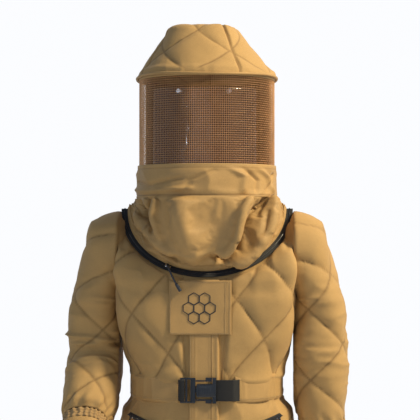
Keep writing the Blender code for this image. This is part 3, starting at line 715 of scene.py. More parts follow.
def armhole_seam(side, sign):
    a, radius = 2 * math.pi * np.arange(96) / 96, 0.0872
    ring = np.stack([np.full(96, sign * 0.1905), radius * np.cos(a), SHOULDER_Z + radius * np.sin(a)], 1)
    cord = rod(ring, 0.0017, 6, closed=True, hint=np.array((1.0, 0, 0)))
    obj = joined(f"armhole_seam_{side}", [cord], TWILL)
    finish_piece(obj, f"upper_arm_{side}")


def cuff_and_gauntlet(side, sign, degrees):
    def place(grid):
        return bend_forearm(grid, degrees) * np.array((sign, 1, 1))

    cuff = [fan_ring((0.2070, z), (0.3000, z), 0.0505) for z in (-0.4955, -0.489, -0.481, -0.4735)]
    grid = loft(cuff, 26, 180)
    s, t = lengths(grid)
    z = grid[..., 2]
    band = np.sin((z + 0.4735) / 0.022 * math.pi * 3) ** 2
    height = -0.0012 + 0.0016 * np.sin(s * 520 + 6 * fbm(grid, (20, 20, 60), 2)) + 0.0010 * band
    grid = grid + normals(grid, True) * height[..., None]
    # painted shade between the elastic's gathered rows, through the crease attribute
    obj = grid_object(f"cuff_{side}", place(grid), GATHER, crease=0.5 * (1 - band), flip=sign < 0)
    finish_piece(obj, f"forearm_{side}", [f"cuff_elastic_{side}"])
    glove = [
        fan_ring((0.2220, -0.6000), (0.3020, -0.6000), 0.0430),
        fan_ring((0.2190, -0.5850), (0.3035, -0.5850), 0.0455),
        fan_ring((0.2110, -0.5400), (0.3040, -0.5400), 0.0500),
        fan_ring((0.2070, -0.5100), (0.3000, -0.5100), 0.0500),
        fan_ring((0.2080, -0.4950), (0.2980, -0.4950), 0.0490),
    ]
    grid = loft(glove, 56, 120)
    s, t = lengths(grid)
    z = grid[..., 2]
    edge = smooth(t, 0.0, 0.012)
    height = 0.0030 * (folds(grid, (16, 16, 7), 2, 1) - 0.3) + 0.0022 * fbm(grid, 24, 2, 2)
    height = height * edge + 0.0016 * smooth(t, 0.010, 0.006)
    grid = grid + normals(grid, True) * height[..., None]
    hem = bell(t - 0.0105, 0.0012)
    # painted shade along the hem line, through the crease attribute
    obj = grid_object(f"gauntlet_cloth_{side}", place(grid), TWILL, crease=hem * 0.6, wall=0.0012,
                      flip=sign < 0)
    finish_piece(obj, f"forearm_{side}", [f"gauntlet_{side}"])


# ---------------------------------------------------------------- hood
def crown():
    """Quilted crown with a sloping side, a flat oval top, panel seams and a piped brim."""
    rings = [
        oval(0.2835, 0.1520, 0.1620, 0.1620, 2.15),
        oval(0.2890, 0.1510, 0.1610, 0.1610, 2.15),
        oval(0.3040, 0.1385, 0.1500, 0.1520, 2.15),
        oval(0.3200, 0.1260, 0.1370, 0.1430, 2.2, centre_x=-0.002),
        oval(0.3500, 0.1025, 0.1130, 0.1240, 2.3, centre_x=-0.005),
        oval(0.3760, 0.0850, 0.0920, 0.1060, 2.5, centre_x=-0.007),
        oval(0.3900, 0.0760, 0.0810, 0.0960, 2.6, centre_x=-0.009),
        oval(0.3955, 0.0660, 0.0690, 0.0840, 2.6, centre_x=-0.009),
        oval(0.3970, 0.0350, 0.0380, 0.0450, 2.4, centre_x=-0.009),
        oval(0.3975, 0.0010, 0.0010, 0.0010, 2.0, centre_x=-0.009),
    ]
    grid = loft(rings, 84, 288)
    t = lengths(grid)[1]
    angle = np.arctan2(grid[..., 1], grid[..., 0])
    round_s = (angle + math.pi / 2) * 0.135
    puff, line = quilting(round_s, t, 0.0042, 0.160, 0.124, shift_s=-0.022, shift_t=0.0)
    top = smooth(t, t.max() - 0.088, t.max() - 0.070)
    seam = np.zeros_like(t)
    for at in (math.radians(-62), math.radians(-150), math.radians(90)):
        off = np.abs(np.angle(np.exp(1j * (angle - at)))) * np.hypot(grid[..., 0], grid[..., 1])
        seam = np.maximum(seam, bell(off, 0.0028) * (1 - top))
    rim = bell(t - (t.max() - 0.080), 0.0026)
    seam = np.maximum(seam, rim * 0.9)
    keep = smooth(t, 0.004, 0.016) * (1 - top) * (1 - seam)
    height = puff * keep + puckers(grid, line * keep) + 0.0040 * fbm(grid, 11, 2) * smooth(t, 0.0, 0.03)
    height = height - 0.0022 * seam + 0.0016 * folds(grid, 30, 3, 1) * bell(t, 0.03)
    grid = grid + normals(grid, True) * height[..., None]
    grid[-1] = grid[-2].mean(0)
    crease = np.maximum(line * keep, seam)
    # painted shade along the quilting lines, the panel seams and the brim's edge, through the crease attribute
    obj = grid_object("crown", grid, QUILT, uv=np.stack([round_s, t], -1), crease=crease)
    finish_piece(obj, "hood", ["hood_crown"])
    brim = oval(0.2838, 0.1532, 0.1632, 0.1632, 2.15, 220)
    brim[:, 2] += 0.0022 * np.sin(np.arange(220) * 2 * math.pi / 220 * 3 + 1.0)
    piping = joined("brim_piping", [rod(brim, 0.0029, 10, closed=True)], TWILL)
    finish_piece(piping, "hood", ["crown_piping"])


def veil():
    """Woven wire cloth: real upright and level wires that pass over and under each other."""
    def outline(degrees, grow=0.0):
        a = np.radians(degrees)
        x = (HOOD_X + grow) * power(np.cos(a), 2 / HOOD_SQUARE)
        return np.stack([x, (HOOD_Y + grow) * power(np.sin(a), 2 / HOOD_SQUARE)], -1)

    fine = outline(np.linspace(-202, 22, 900), -0.0007)
    run = np.r_[0, np.cumsum(np.linalg.norm(np.diff(fine, axis=0), axis=1))]
    pitch = 0.0046
    across = int(run[-1] / pitch)
    low, high = VEIL_LOW - 0.004, VEIL_HIGH + 0.006
    levels = int((high - low) / pitch)
    at = np.linspace(0, run[-1], across + 1)
    z = np.linspace(low, high, levels + 1)
    spots = np.stack([np.interp(at, run, fine[:, k]) for k in range(2)], 1)
    out = spots / np.linalg.norm(spots, axis=1)[:, None]
    parts = []
    weave, wire = 0.00042, 0.00050
    for i in range(across + 1):
        shift = weave * np.where((np.arange(levels + 1) + i) % 2, 1, -1)
        p = np.column_stack([spots[i] + out[i] * shift[:, None], z])
        parts.append(rod(p, wire, 4, hint=np.array((*out[i], 0.0))))
    for j in range(levels + 1):
        shift = -weave * np.where((np.arange(across + 1) + j) % 2, 1, -1)
        p = np.column_stack([spots + out * shift[:, None], np.full(across + 1, z[j])])
        parts.append(rod(p, wire, 4))
    obj = joined("wire_veil", parts, WIRE)
    finish_piece(obj, "hood", ["mesh_veil"])
    def upright(degrees, grow, heights):
        flat = outline(degrees, grow)
        return np.array([np.column_stack([flat, np.full(len(flat), h)]) for h in heights])

    for name, level, tall in (
        ("veil_binding_top", VEIL_HIGH - 0.002, 0.007),
        ("veil_binding_low", VEIL_LOW, 0.004),
    ):
        heights = level + np.linspace(-tall / 2, tall / 2, 4)
        strip = upright(np.linspace(-202, 22, 180), 0.0014, heights)
        binding = grid_object(name, strip, TWILL, closed=False, wall=0.0030)
        finish_piece(binding, "hood")
    grid = upright(np.linspace(20, 160, 150), 0.001, np.linspace(VEIL_LOW, VEIL_HIGH + 0.004, 46))
    s, t = lengths(grid)
    puff, line = quilting(s, t, 0.0050, shift_s=s.max() / 2)
    border = 0.012
    keep = smooth(s, 0, border) * smooth(s.max() - s, 0, border)
    keep = keep * smooth(t, 0, border) * smooth(t.max() - t, 0, border)
    grid = grid + normals(grid, False) * ((puff + puckers(grid, line)) * keep)[..., None]
    # painted shade along the quilting lines, through the crease attribute
    back = grid_object("hood_back", grid, QUILT, closed=False, crease=line * keep)
    finish_piece(back, "hood", ["hood_back_panel"])
    # A near-black sheet inside the hood, behind the veil: painted shade standing in for the hood's shaded
    # inside
    inside = upright(np.linspace(18, 162, 100), -0.006, np.linspace(VEIL_LOW - 0.02, VEIL_HIGH + 0.002, 24))
    interior_shade_sheet = grid_object("hood_interior_shade", inside, INTERIOR_SHADE, closed=False, wall=0.0008, flip=True)
    finish_piece(interior_shade_sheet, "hood")


def visor():
    """Clear sheet inside the veil, with a rounded top edge; its snap studs are the CAD's own."""
    a = np.radians(np.linspace(-142, -38, 90))
    x, y = 0.1365 * power(np.cos(a), 2 / HOOD_SQUARE), 0.146 * power(np.sin(a), 2 / HOOD_SQUARE)
    z = np.linspace(0.045, 0.2545, 60)
    grid = np.zeros((60, 90, 3))
    grid[..., 0], grid[..., 1], grid[..., 2] = x, y, z[:, None]
    u = np.linspace(0, 1, 90)[None, :]
    dent = 0.0030 * bell(u - 0.335 - 0.02 * (z[:, None] - 0.15), 0.018)
    dent = dent - 0.0022 * bell(u - 0.375 - 0.25 * (z[:, None] - 0.25), 0.014)
    dent = dent + 0.0012 * np.sin(u * 9 + z[:, None] * 12)
    grid = grid + normals(grid, False) * dent[..., None]
    obj = grid_object("visor_sheet", grid, CLEAR, closed=False, wall=0.0010)
    finish_piece(obj, "hood", ["clear_visor"])
    edge = joined("visor_edge", [rod(grid[-1], 0.0008, 8)], CLEAR)
    finish_piece(edge, "hood")
    for side in ("left", "right"):
        set_material(f"visor_snap_{side}", METAL)


def neck():
    """Plain band under the veil, above the loose skirt that falls from it to the collar zip."""
    heights = ((0.0250, 0.0062), (0.0330, 0.0060), (0.0600, 0.0050), (0.0850, 0.0036), (0.0935, 0.0034))
    rings = [oval(z, HOOD_X + g, HOOD_Y + g, HOOD_Y + g, HOOD_SQUARE, 192) for z, g in heights]
    grid = loft(rings, 44, 320)
    z = grid[..., 2]
    free = smooth(z, 0.026, 0.042) * smooth(z, 0.090, 0.072)
    height = free * (0.0060 * (folds(grid, (8, 8, 17), 2, 1) - 0.35) + 0.004 * fbm(grid, 13, 2))
    where = np.stack([np.arctan2(grid[..., 0], -grid[..., 1]) * 0.17, (z - 0.025) / 0.0685 * 0.15], -1)
    for out, width, points in BAND_FOLDS:
        height = height + free * out * stroke(where, points, width)
    seam = bell(z - 0.0285, 0.0010)
    hem = bell(z - 0.0850, 0.0010)
    height = height - 0.0012 * seam - 0.0007 * hem
    grid = grid + normals(grid, True) * height[..., None]
    # painted shade along the seam and the hem, through the crease attribute
    obj = grid_object("neck_band_cloth", grid, TWILL, crease=seam + 0.6 * hem, wall=0.0016)
    finish_piece(obj, "hood", ["neck_band"])


def skirt_rest(rows=40, columns=216):
    """The skirt as sewn, between the zip and the band, with spare cloth in front."""
    top = oval(0.0275, 0.1535, 0.163, 0.163, 2.15, columns)
    foot, stand = ring_row(0.1742, 0.0012, columns), ring_row(0.1748, 0.0080, columns)
    rings = [foot, stand]
    for share, belly, wide in ((0.20, 0.021, -0.006), (0.48, 0.036, -0.009), (0.76, 0.028, -0.004)):
        forward = (-stand[:, 1:2] / 0.12).clip(0, 1)
        sides = np.abs(stand[:, :1] / 0.175) ** 4
        lean = np.hstack([np.sign(stand[:, :1]) * wide * sides, -belly * forward, np.zeros((columns, 1))])
        rings.append(stand * (1 - share) + top * share + lean)
    rings.append(top)
    return loft(rings, rows, columns, even=False)


def stroke(where, points, width):
    """A soft ridge, 0 to 1, along a line of (degrees from the front, height share) points on the skirt."""
    line = np.array([(math.radians(a) * 0.17, v * 0.15) for a, v in points])
    best = np.full(where.shape[:2], 1e9)
    for p, q in zip(line[:-1], line[1:]):
        t = (((where - p) * (q - p)).sum(-1) / ((q - p) ** 2).sum()).clip(0, 1)
        best = np.minimum(best, np.linalg.norm(where - p - t[..., None] * (q - p), axis=-1))
    return bell(best, width)


FOLDS = (
    # how far out in metres, half width in metres, line of (degrees towards the wearer's left, height share)
    (0.014, 0.032, ((-14, 0.90), (-12, 0.60), (-8, 0.35))),
    (-0.062, 0.019, ((-57, 0.78), (-52, 0.68), (-46, 0.58))),
    (-0.020, 0.009, ((-38, 0.95), (-40, 0.74), (-36, 0.56))),
    (0.012, 0.010, ((-31, 0.97), (-32, 0.74), (-28, 0.52))),
    (0.016, 0.013, ((-66, 0.52), (-52, 0.40), (-40, 0.42), (-22, 0.34))),
    (-0.034, 0.009, ((50, 0.99), (36, 0.80), (26, 0.60), (24, 0.36), (14, 0.20))),
    (0.018, 0.012, ((30, 0.99), (22, 0.78), (18, 0.52), (12, 0.34))),
    (0.024, 0.018, ((54, 0.90), (44, 0.60), (33, 0.32), (22, 0.14))),
    (-0.016, 0.008, ((70, 0.66), (58, 0.36), (46, 0.14))),
    (-0.016, 0.007, ((-82, 0.44), (-64, 0.20), (-50, 0.10))),
    (0.010, 0.008, ((-62, 0.16), (-44, 0.14))),
    (-0.013, 0.007, ((-38, 0.36), (-30, 0.20), (-22, 0.11))),
    (-0.013, 0.007, ((6, 0.28), (14, 0.16), (22, 0.13))),
    (-0.009, 0.006, ((34, 0.95), (30, 0.88))),
    (-0.012, 0.010, ((150, 0.85), (140, 0.40))),
    (-0.012, 0.010, ((-148, 0.85), (-138, 0.40))),
    (0.012, 0.020, ((180, 0.80), (176, 0.35))),
)


BAND_FOLDS = (
    # the same, on the band between the veil and the skirt
    (0.0065, 0.010, ((18, 0.95), (32, 0.60), (30, 0.10))),
    (-0.0060, 0.007, ((30, 0.90), (45, 0.50), (43, 0.05))),
    (0.0070, 0.010, ((44, 0.98), (60, 0.60), (68, 0.10))),
    (-0.0050, 0.008, ((72, 0.70), (60, 0.30), (54, 0.05))),
    (-0.0045, 0.009, ((-18, 0.55), (-46, 0.36), (-74, 0.50))),
    (0.0055, 0.012, ((-12, 0.25), (-44, 0.14), (-76, 0.22))),
    (-0.0030, 0.008, ((8, 0.80), (-10, 0.50), (-14, 0.20))),
)


def skirt_folds(grid, sharper=1.0, deepest=-1.0):
    """The sum of FOLDS over the skirt, and where its cloth is free to fold: not at its two sewn edges, nor
    where it is too short to have cloth to spare."""
    t = lengths(grid)[1]
    v = t / t[-1:]
    free = smooth(v, 0.03, 0.16) * smooth(v, 1.0, 0.90)
    angle = np.arctan2(grid[..., 0], -grid[..., 1] * 1.25)
    where = np.stack([angle * 0.17, v * 0.15], -1)
    push = sum(max(deepest, out) * stroke(where, points, sharper * width) for out, width, points in FOLDS)
    return push, free, smooth(t[-1:], 0.055, 0.110)


def settle(obj, pinned, obstacle, frames=14):
    """Let cloth fall under gravity with some points held, then keep the shape it comes to."""
    group = obj.vertex_groups.new(name="held")
    for share, index in pinned:
        group.add([int(i) for i in index], share, "REPLACE")
    cloth = obj.modifiers.new("fall", "CLOTH")
    values = cloth.settings
    values.quality = 6
    values.mass = 0.22
    values.tension_stiffness = values.compression_stiffness = 30
    values.shear_stiffness = 15
    values.bending_stiffness = 6.0
    values.air_damping = 3.0
    values.vertex_group_mass = "held"
    cloth.collision_settings.distance_min = 0.002
    cloth.collision_settings.use_self_collision = True
    cloth.collision_settings.self_distance_min = 0.002
    cloth.point_cache.frame_start, cloth.point_cache.frame_end = 1, frames
    obstacle.modifiers.new("hard", "COLLISION")
    obstacle.collision.thickness_outer = 0.002
    scene = bpy.context.scene
    for step in range(1, frames + 1):
        scene.frame_set(step)
        bpy.context.view_layer.update()
    shape = obj.evaluated_get(bpy.context.evaluated_depsgraph_get())
    out = np.zeros(len(shape.data.vertices) * 3, np.float32)
    shape.data.vertices.foreach_get("co", out)
    scene.frame_set(1)
    for item in (obj, obstacle):
        mesh = item.data
        bpy.data.objects.remove(item)
        bpy.data.meshes.remove(mesh)
    return out.reshape(-1, 3).astype(float)


def skirt():
    """Plain cowl between the neck band and the collar zip: gathered folds that sag over the zip in front."""
    grid = skirt_rest()
    rows, columns = grid.shape[:2]
    push, free, roomy = skirt_folds(grid)
    grid = grid + normals(grid, True) * (free * roomy * (push + 0.005 * fbm(grid, 12, 2, 1)))[..., None]
    loose = grid_object("loose_skirt", grid, TWILL, wall=0)
    index = np.arange(rows * columns).reshape(rows, columns)
    heights = np.linspace(-0.30, -0.205, 5)
    body = [body_section(z, -0.002) for z in heights] + [ring_row(0.1850, -0.0050)]
    body = grid_object("obstacle", loft(body, 24, 96), TWILL, wall=0)
    pinned = [(1.0, index[:2].ravel()), (1.0, index[-2:].ravel())]
    grid = settle(loose, pinned, body).reshape(rows, columns, 3)
    grid = loft(grid, 76, 400, even=False)
    push, free, roomy = skirt_folds(grid, sharper=0.55, deepest=-0.030)
    fine = 0.0011 * (folds(grid, (30, 30, 20), 3, 1) - 0.2) * free + 0.34 * push * free * roomy
    grid = grid + normals(grid, True) * fine[..., None]
    obj = grid_object("neck_skirt_cloth", grid, TWILL, wall=0.0014)
    finish_piece(obj, "hood", ["neck_skirt"])


# ---------------------------------------------------------------- collar zip
def collar_zip():
    """Two black tapes and a row of interlocked teeth round the collar."""
    for name, outer, inner, body, node in (
        ("zip_tape_lower", 0.1885, 0.1822, "suit", "collar_zip_tape"),
        ("zip_tape_upper", 0.1798, 0.1725, "hood", "hood_zip_tape"),
    ):
        grid = np.array([ring_row(r, 0.0006, 288) for r in np.linspace(outer, inner, 6)])
        obj = grid_object(name, grid, WEBBING, wall=0.0011)
        finish_piece(obj, body, [node])
    coil = ring_row(RING, 0.0006, 900)
    wobble = ring_row(RING, 0.0022, 900) - coil
    coil = coil + wobble * (0.35 * np.sin(np.arange(900) * 2 * math.pi / 3))[:, None]
    radius = 0.00135 + 0.00035 * np.cos(np.arange(900) * 2 * math.pi / 3)
    obj = joined("collar_teeth", [rod(coil, radius, 6, closed=True)], PLASTIC)
    finish_piece(obj, "suit", ["collar_zip_coil"])


def set_material(node, mat):
    data = bpy.data.objects[node].data
    data.materials.clear()
    data.materials.append(mat)


# ---------------------------------------------------------------- front
def front_point(x, off, up):
    """A point on the leaning front line: off stands away from the chest, up runs along it from its top."""
    c, s = math.cos(FRONT_LEAN), math.sin(FRONT_LEAN)
    return FRONT_TOP + np.array((x, -off * c + up * s, off * s + up * c))


def front_sheet(name, xs, ups, off, mat, wall=0.0012, wavy=0.0008, crease=None):
    grid = np.array([[front_point(x, off, u) for x in xs] for u in ups])
    grid = grid + np.array((0, -1, 0)) * (wavy * (fbm(grid, 30, 2) + 0.4))[..., None]
    return grid_object(name, grid, mat, closed=False, wall=wall, crease=crease)


def front():
    """Placket over the zip, its side strips, and the chest patch with a plain comb outline."""
    ups = np.linspace(-0.452, -0.006, 150)
    xs = np.r_[-0.0325, -0.0318, np.linspace(-0.030, 0.030, 22), 0.0318, 0.0325]
    grid = np.array([[front_point(x, 0.0088, u) for x in xs] for u in ups])
    drop = np.where(np.abs(xs) > 0.0315, 0.0070, 0.0)
    drop = np.where(np.abs(xs) > 0.0323, 0.0090, drop)
    ridge = 0.0010 * bell(xs - 0.0135, 0.0016) + 0.0008 * bell(xs + 0.018, 0.0016)
    push = ridge - drop + 0.0014 * fbm(grid, (20, 20, 26), 3) * (np.abs(xs) < 0.031)
    grid = grid + np.array((0, -1, 0)) * push[..., None]
    lines = bell(xs - 0.0155, 0.0012) + bell(xs + 0.0200, 0.0012)
    # painted shade along the two stitched lines, through the crease attribute
    obj = grid_object("placket_cloth", grid, TWILL, closed=False, wall=0.0011,
                      crease=np.broadcast_to(lines, grid.shape[:2]) * 0.8)
    finish_piece(obj, "suit", ["placket"])
    rows = []
    for x in (0.0180, -0.0225, 0.0275, -0.0280):
        rows.append([front_point(x, 0.0100, u) for u in np.linspace(-0.445, -0.010, 120)])
    obj = stitches("placket_stitches", rows, [FACING] * 4)
    finish_piece(obj, "suit")
    chest_patch()


def chest_patch():
    """The patch on the placket, stitched round, with seven plain hexagons."""
    low, high, left, right = -0.1215, -0.0075, -0.0735, 0.0575
    ups = np.linspace(low, high, 44)
    xs = np.linspace(left, right, 48)
    border = np.minimum(np.minimum(ups - low, high - ups)[:, None], np.minimum(xs - left, right - xs)[None])
    fold = bell(border - 0.0035, 0.0010) + bell(xs - 0.0450, 0.0011)[None]
    # painted shade along the patch's folded border and its stitched line, through the crease attribute
    patch = front_sheet("patch_cloth", xs, ups, 0.0108, TWILL, wavy=0.0012, crease=0.7 * fold)
    finish_piece(patch, "suit", ["chest_patch"])
    level, tall = np.linspace(-0.070, 0.054, 40), np.linspace(-0.118, -0.011, 40)
    frame_lines = [[front_point(x, 0.0119, u) for x in level] for u in (-0.0110, -0.1180)]
    frame_lines += [[front_point(x, 0.0119, u) for u in tall] for x in (-0.0700, 0.0540, 0.0450)]
    obj = stitches("patch_stitches", frame_lines, [FACING] * 5)
    finish_piece(obj, "suit")
    comb = []
    size = 0.0128
    for cx, cu in ((0, 0), (1, 0), (-1, 0), (0.5, 0.866), (-0.5, 0.866), (0.5, -0.866), (-0.5, -0.866)):
        centre = (-0.010 + cx * size * 1.78, -0.066 + cu * size * 1.78)
        turns = [k * math.pi / 3 for k in range(6)]
        corners = [(centre[0] + size * math.sin(a), centre[1] + size * math.cos(a)) for a in turns]
        comb.append(rod([front_point(x, 0.0122, u) for x, u in corners], 0.0011, 6, closed=True, flat=0.4,
                        hint=FACING))
    obj = joined("patch_comb_outline", comb, INK)
    finish_piece(obj, "suit")


# ---------------------------------------------------------------- belt and buckle
def belt():
    """Waist casing round the body, open in front for the webbing and the side-release buckle."""
    a = np.radians(np.linspace(-90 + 17, 270 - 13, 280))
    zs = np.linspace(BELT_Z - BELT_TALL / 2, BELT_Z + BELT_TALL / 2, 22)
    grid = []
    for z in zs:
        half, back, square = (np.interp(z, BODY[:, 0], BODY[:, k]) for k in (1, 2, 3))
        grow = 0.0052
        x = (half + grow) * power(np.cos(a), 2 / square)
        reach = np.where(np.sin(a) < 0, front_reach(z), back) + grow
        grid.append(np.stack([x, reach * power(np.sin(a), 2 / square), np.full(len(a), z)], 1))
    grid = np.array(grid)
    s = lengths(grid)[0]
    v = (grid[..., 2] - zs[0]) / BELT_TALL
    edge = smooth(v, 0.0, 0.10) * smooth(v, 1.0, 0.90)
    hem = bell(v - 0.12, 0.02) + bell(v - 0.88, 0.02)
    height = -0.0028 * (1 - edge) - 0.0006 * hem + 0.0030 * fbm(grid, (26, 26, 9), 2, 1) * edge
    height = height + 0.0018 * folds(grid, (40, 40, 8), 3, 2) * edge
    grid = grid + normals(grid, False) * height[..., None]
    # painted shade along the two hem lines, through the crease attribute
    obj = grid_object("belt_cloth", grid, TWILL, closed=False, wall=0.0014, crease=0.7 * hem)
    finish_piece(obj, "suit", ["belt_casing"])
    n = normals(grid, False)
    obj = stitches("belt_stitches", [grid[3] + n[3] * 0.0004, grid[-4] + n[-4] * 0.0004], [n[3], n[-4]])
    finish_piece(obj, "suit")
    for node in ("buckle_female", "buckle_male", "buckle_prong_upper", "buckle_prong_lower"):
        set_material(node, PLASTIC)
    buckle_details()
    webbing()


def webbing():
    """The strap's fixed end beside the buckle, and its turn round the ladder half, both finely ribbed."""
    ribs = np.linspace(-0.0220, 0.0220, 34)

    def strap(name, xs, ys, body, nodes):
        grid = np.array([[(x + BUCKLE_ASIDE, y, BELT_Z + r) for x, y in zip(xs, ys)] for r in ribs])
        grid[..., 1] -= 0.00035 * np.cos(np.arange(34) * math.pi)[:, None]
        obj = grid_object(name, grid, WEBBING, closed=False, wall=0.0016)
        finish_piece(obj, body, nodes)

    xs = np.linspace(0.0075, 0.0590, 40)
    ys = -0.1530 - 0.0022 * np.sin((xs - 0.0075) / 0.0515 * math.pi) + 0.0060 * smooth(xs, 0.045, 0.059)
    strap("webbing_tail", xs, ys, "suit", ["webbing_left"])
    a = np.linspace(-math.pi / 2, math.pi / 2, 14)
    along = np.linspace(-0.0560, -0.0640, 8)
    lx = np.r_[along, -0.0640 - 0.0038 * np.cos(a), along[::-1]]
    ly = np.r_[np.full(8, -0.1584), -0.1540 + 0.0044 * np.sin(a), np.full(8, -0.1496)]
    strap("webbing_turn", lx, ly, "buckle_male", ["webbing_loop"])


def buckle_details():
    """Moulded ribs, a raised centre plate, grip ridges on the two prongs and the ladder half's bars."""
    y = -0.1590
    aside = BUCKLE_ASIDE
    plate = rounded_box("buckle_plate", (-0.0265 + aside, y - 0.0007, BELT_Z - 0.0100),
                        (0.0060 + aside, y + 0.0012, BELT_Z + 0.0100), 0.0007, PLASTIC)
    finish_piece(plate, "suit")
    parts = []
    for k in range(5):
        x = aside - 0.0210 + k * 0.0050
        parts.append(rod([(x, y - 0.0008, BELT_Z + h) for h in np.linspace(-0.0075, 0.0075, 5)], 0.0006, 6))
    obj = joined("buckle_ribs", parts, PLASTIC)
    finish_piece(obj, "suit")
    for sign, name in ((1, "upper"), (-1, "lower")):
        z = BELT_Z + sign * 0.0268
        across = [aside - 0.0100 + k * 0.0028 for k in range(4)]
        grips = [rod([(x, -0.1558, z), (x, -0.1524, z)], 0.0006, 6) for x in across]
        obj = joined(f"prong_grip_{name}", grips, PLASTIC)
        finish_piece(obj, f"prong_{name}")
    bars = [rod([(x + aside, -0.1574, BELT_Z - 0.0245), (x + aside, -0.1574, BELT_Z + 0.0245)], 0.0011, 8)
            for x in (-0.0640, -0.0522, -0.0400)]
    obj = joined("ladder_bars", bars, PLASTIC)
    finish_piece(obj, "buckle_male")


# ---------------------------------------------------------------- pockets
def on_body(x, z, grow):
    half, reach, square = 0.182 + grow, front_reach(z) + grow, 2.65
    return np.array((x, -reach * (1 - abs(x / half) ** square) ** (1 / square), z))


def pockets():
    """Slanting black zips over the hip pockets, with the pocket bags' outline stitched below."""
    for side, sign in SIDES:
        xs = np.linspace(0.080, 0.163, 44)
        heights = np.interp(xs, (0.086, 0.122, 0.158), (-0.4625, -0.4520, -0.4395))
        line = np.array([on_body(x, z, 0.0052) for x, z in zip(xs, heights)])
        line = line * np.array((sign, 1, 1))
        tangent = np.gradient(line, axis=0)
        tangent /= np.linalg.norm(tangent, axis=1)[:, None]
        out = line * np.array((1, 1, 0)) + np.array((0, 0.03, 0))
        out = out - (out * tangent).sum(1)[:, None] * tangent
        out /= np.linalg.norm(out, axis=1)[:, None]
        up = np.cross(out, tangent) * (1 if sign > 0 else -1)
        up = up * np.sign(up[:, 2:3])
        rows = []
        for h in np.linspace(-0.0060, 0.0060, 9):
            bow = 0.0011 * (1 - (h / 0.0060) ** 2)
            rows.append(line + up * h + out * bow)
        ends = smooth(xs, 0.080, 0.084) * smooth(xs, 0.163, 0.159)
        grid = np.array(rows)
        grid = line + (grid - line) * (0.35 + 0.65 * ends)[None, :, None]
        obj = grid_object(f"pocket_tape_{side}", grid, WEBBING, closed=False, wall=0.0016, flip=sign < 0)
        finish_piece(obj, "suit", [f"pocket_zip_{side}"])
        teeth = line + out * 0.0016
        radius = 0.0011 + 0.0003 * np.cos(np.arange(220) * 2 * math.pi / 3)
        dense = resample(teeth, 220, False)
        obj = joined(f"pocket_teeth_{side}", [rod(dense, radius, 6, hint=FACING)], PLASTIC)
        finish_piece(obj, "suit")
        set_material(f"pocket_slider_{side}", METAL)
        set_material(f"pocket_puller_{side}", PLASTIC)
        rim = []
        for offset in (0.0100, -0.0100):
            rim.append(line + up * offset + out * 0.0006)
        obj = stitches(f"pocket_stitches_{side}", rim, [out, out])
        finish_piece(obj, "suit")
        panel(side, sign)


def panel(side, sign):
    """The pocket bag's outer panel, lying on the hips, with a sunken border and a hem line."""
    xs = np.linspace(0.090, 0.176, 40)
    grid = []
    for z in np.linspace(-0.586, -0.491, 44):
        half, square = (np.interp(z, BODY[:, 0], BODY[:, k]) for k in (1, 3))
        reach = front_reach(z) + 0.0066
        x = xs * half / 0.192
        y = -reach * (1 - (x / (half + 0.0066)) ** square) ** (1 / square)
        grid.append(np.stack([x, y, np.full(40, z)], 1))
    grid = np.array(grid)
    s, t = lengths(grid)
    aside, above = s.max(1, keepdims=True) - s, t.max(0, keepdims=True) - t
    border = np.minimum(np.minimum(s, aside), np.minimum(t, above))
    edge = smooth(border, 0.0, 0.005)
    hem = bell(border - 0.0065, 0.0011)
    height = -0.0045 * (1 - edge) - 0.0008 * hem + 0.0025 * fbm(grid, 20, 2, 1) * edge
    grid = grid + normals(grid, False) * height[..., None]
    grid = grid * np.array((sign, 1, 1))
    # painted shade along the hem line round the panel, through the crease attribute
    obj = grid_object(f"pocket_cloth_{side}", grid, TWILL, closed=False, wall=0.0014, crease=hem * 0.8,
                      flip=sign < 0)
    finish_piece(obj, "suit", [f"pocket_panel_{side}"])


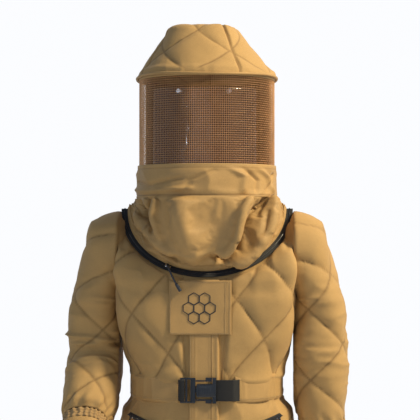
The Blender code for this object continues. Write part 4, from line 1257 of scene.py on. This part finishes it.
# ---------------------------------------------------------------- stage
def stage():
    """Pale floor, soft lights and the camera."""
    corners = np.array([[(x, y, -1.402) for x in (-5.0, 5.0)] for y in (-5.0, 5.0)])
    pale = moulded_material("pale_floor", (0.80, 0.80, 0.79), 0.8, bump_by=0.02)
    floor = grid_object("floor", corners, pale, closed=False, wall=0)
    world = bpy.context.scene.world or bpy.data.worlds.new("world")
    bpy.context.scene.world = world
    world.use_nodes = True
    nodes, links = world.node_tree.nodes, world.node_tree.links
    background = nodes["Background"]
    way = nodes.new("ShaderNodeSeparateXYZ")
    links.new(nodes.new("ShaderNodeTexCoord").outputs["Generated"], way.inputs[0])
    spread = nodes.new("ShaderNodeMapRange")
    spread.interpolation_type = "SMOOTHSTEP"
    for key, value in (("From Min", 0.45), ("From Max", 0.95)):
        spread.inputs[key].default_value = value
    links.new(way.outputs["Y"], spread.inputs["Value"])
    links.new(mixed(nodes, links, spread.outputs[0], (0.19, 0.225, 0.28, 1), (0.97, 0.98, 1.0, 1)),
              background.inputs[0])
    bpy.context.scene.view_settings.view_transform = "Standard"

    def area(name, at, aim, size, power_w, colour, size_y=None):
        data = bpy.data.lights.new(name, "AREA")
        data.energy, data.color, data.size = power_w, colour, size
        if size_y:
            data.shape, data.size_y = "RECTANGLE", size_y
        light = bpy.data.objects.new(name, data)
        bpy.context.collection.objects.link(light)
        light.location = at
        light.rotation_euler = (Vector(aim) - Vector(at)).to_track_quat("-Z", "Y").to_euler()

    area("key", (2.4, -0.85, 2.1), (0.05, 0, 0.0), 0.6, 172, (1.0, 0.85, 0.56))
    area("fill", (-0.6, -3.0, 0.3), (0, 0, -0.1), 1.6, 3, (0.85, 0.93, 1.0))
    area("streak", (-1.45, -1.75, 0.2), (0, 0, 0.17), 0.03, 5, (0.85, 0.93, 1.0), 1.6)

    camera = bpy.data.objects.new("camera", bpy.data.cameras.new("camera"))
    bpy.context.collection.objects.link(camera)
    turn, distance = math.radians(2.5), 3.0
    target = Vector((0.0066, 0, -0.0026))
    camera.location = target + Vector((math.sin(turn) * distance, -math.cos(turn) * distance, -0.02))
    camera.rotation_euler = (target - camera.location).to_track_quat("-Z", "Y").to_euler()
    camera.data.lens = 36 * distance / 0.924
    camera.data.clip_end = 50
    bpy.context.scene.camera = camera


stage()
skirt()
torso()
trousers()
sleeves()
crown()
veil()
visor()
neck()
collar_zip()
front()
belt()
pockets()
set_material("front_zip_tape", WEBBING)
set_material("front_zip_coil", PLASTIC)
for metal_node in ("collar_slider", "front_zip_slider"):
    set_material(metal_node, METAL)
set_material("collar_puller", PLASTIC)
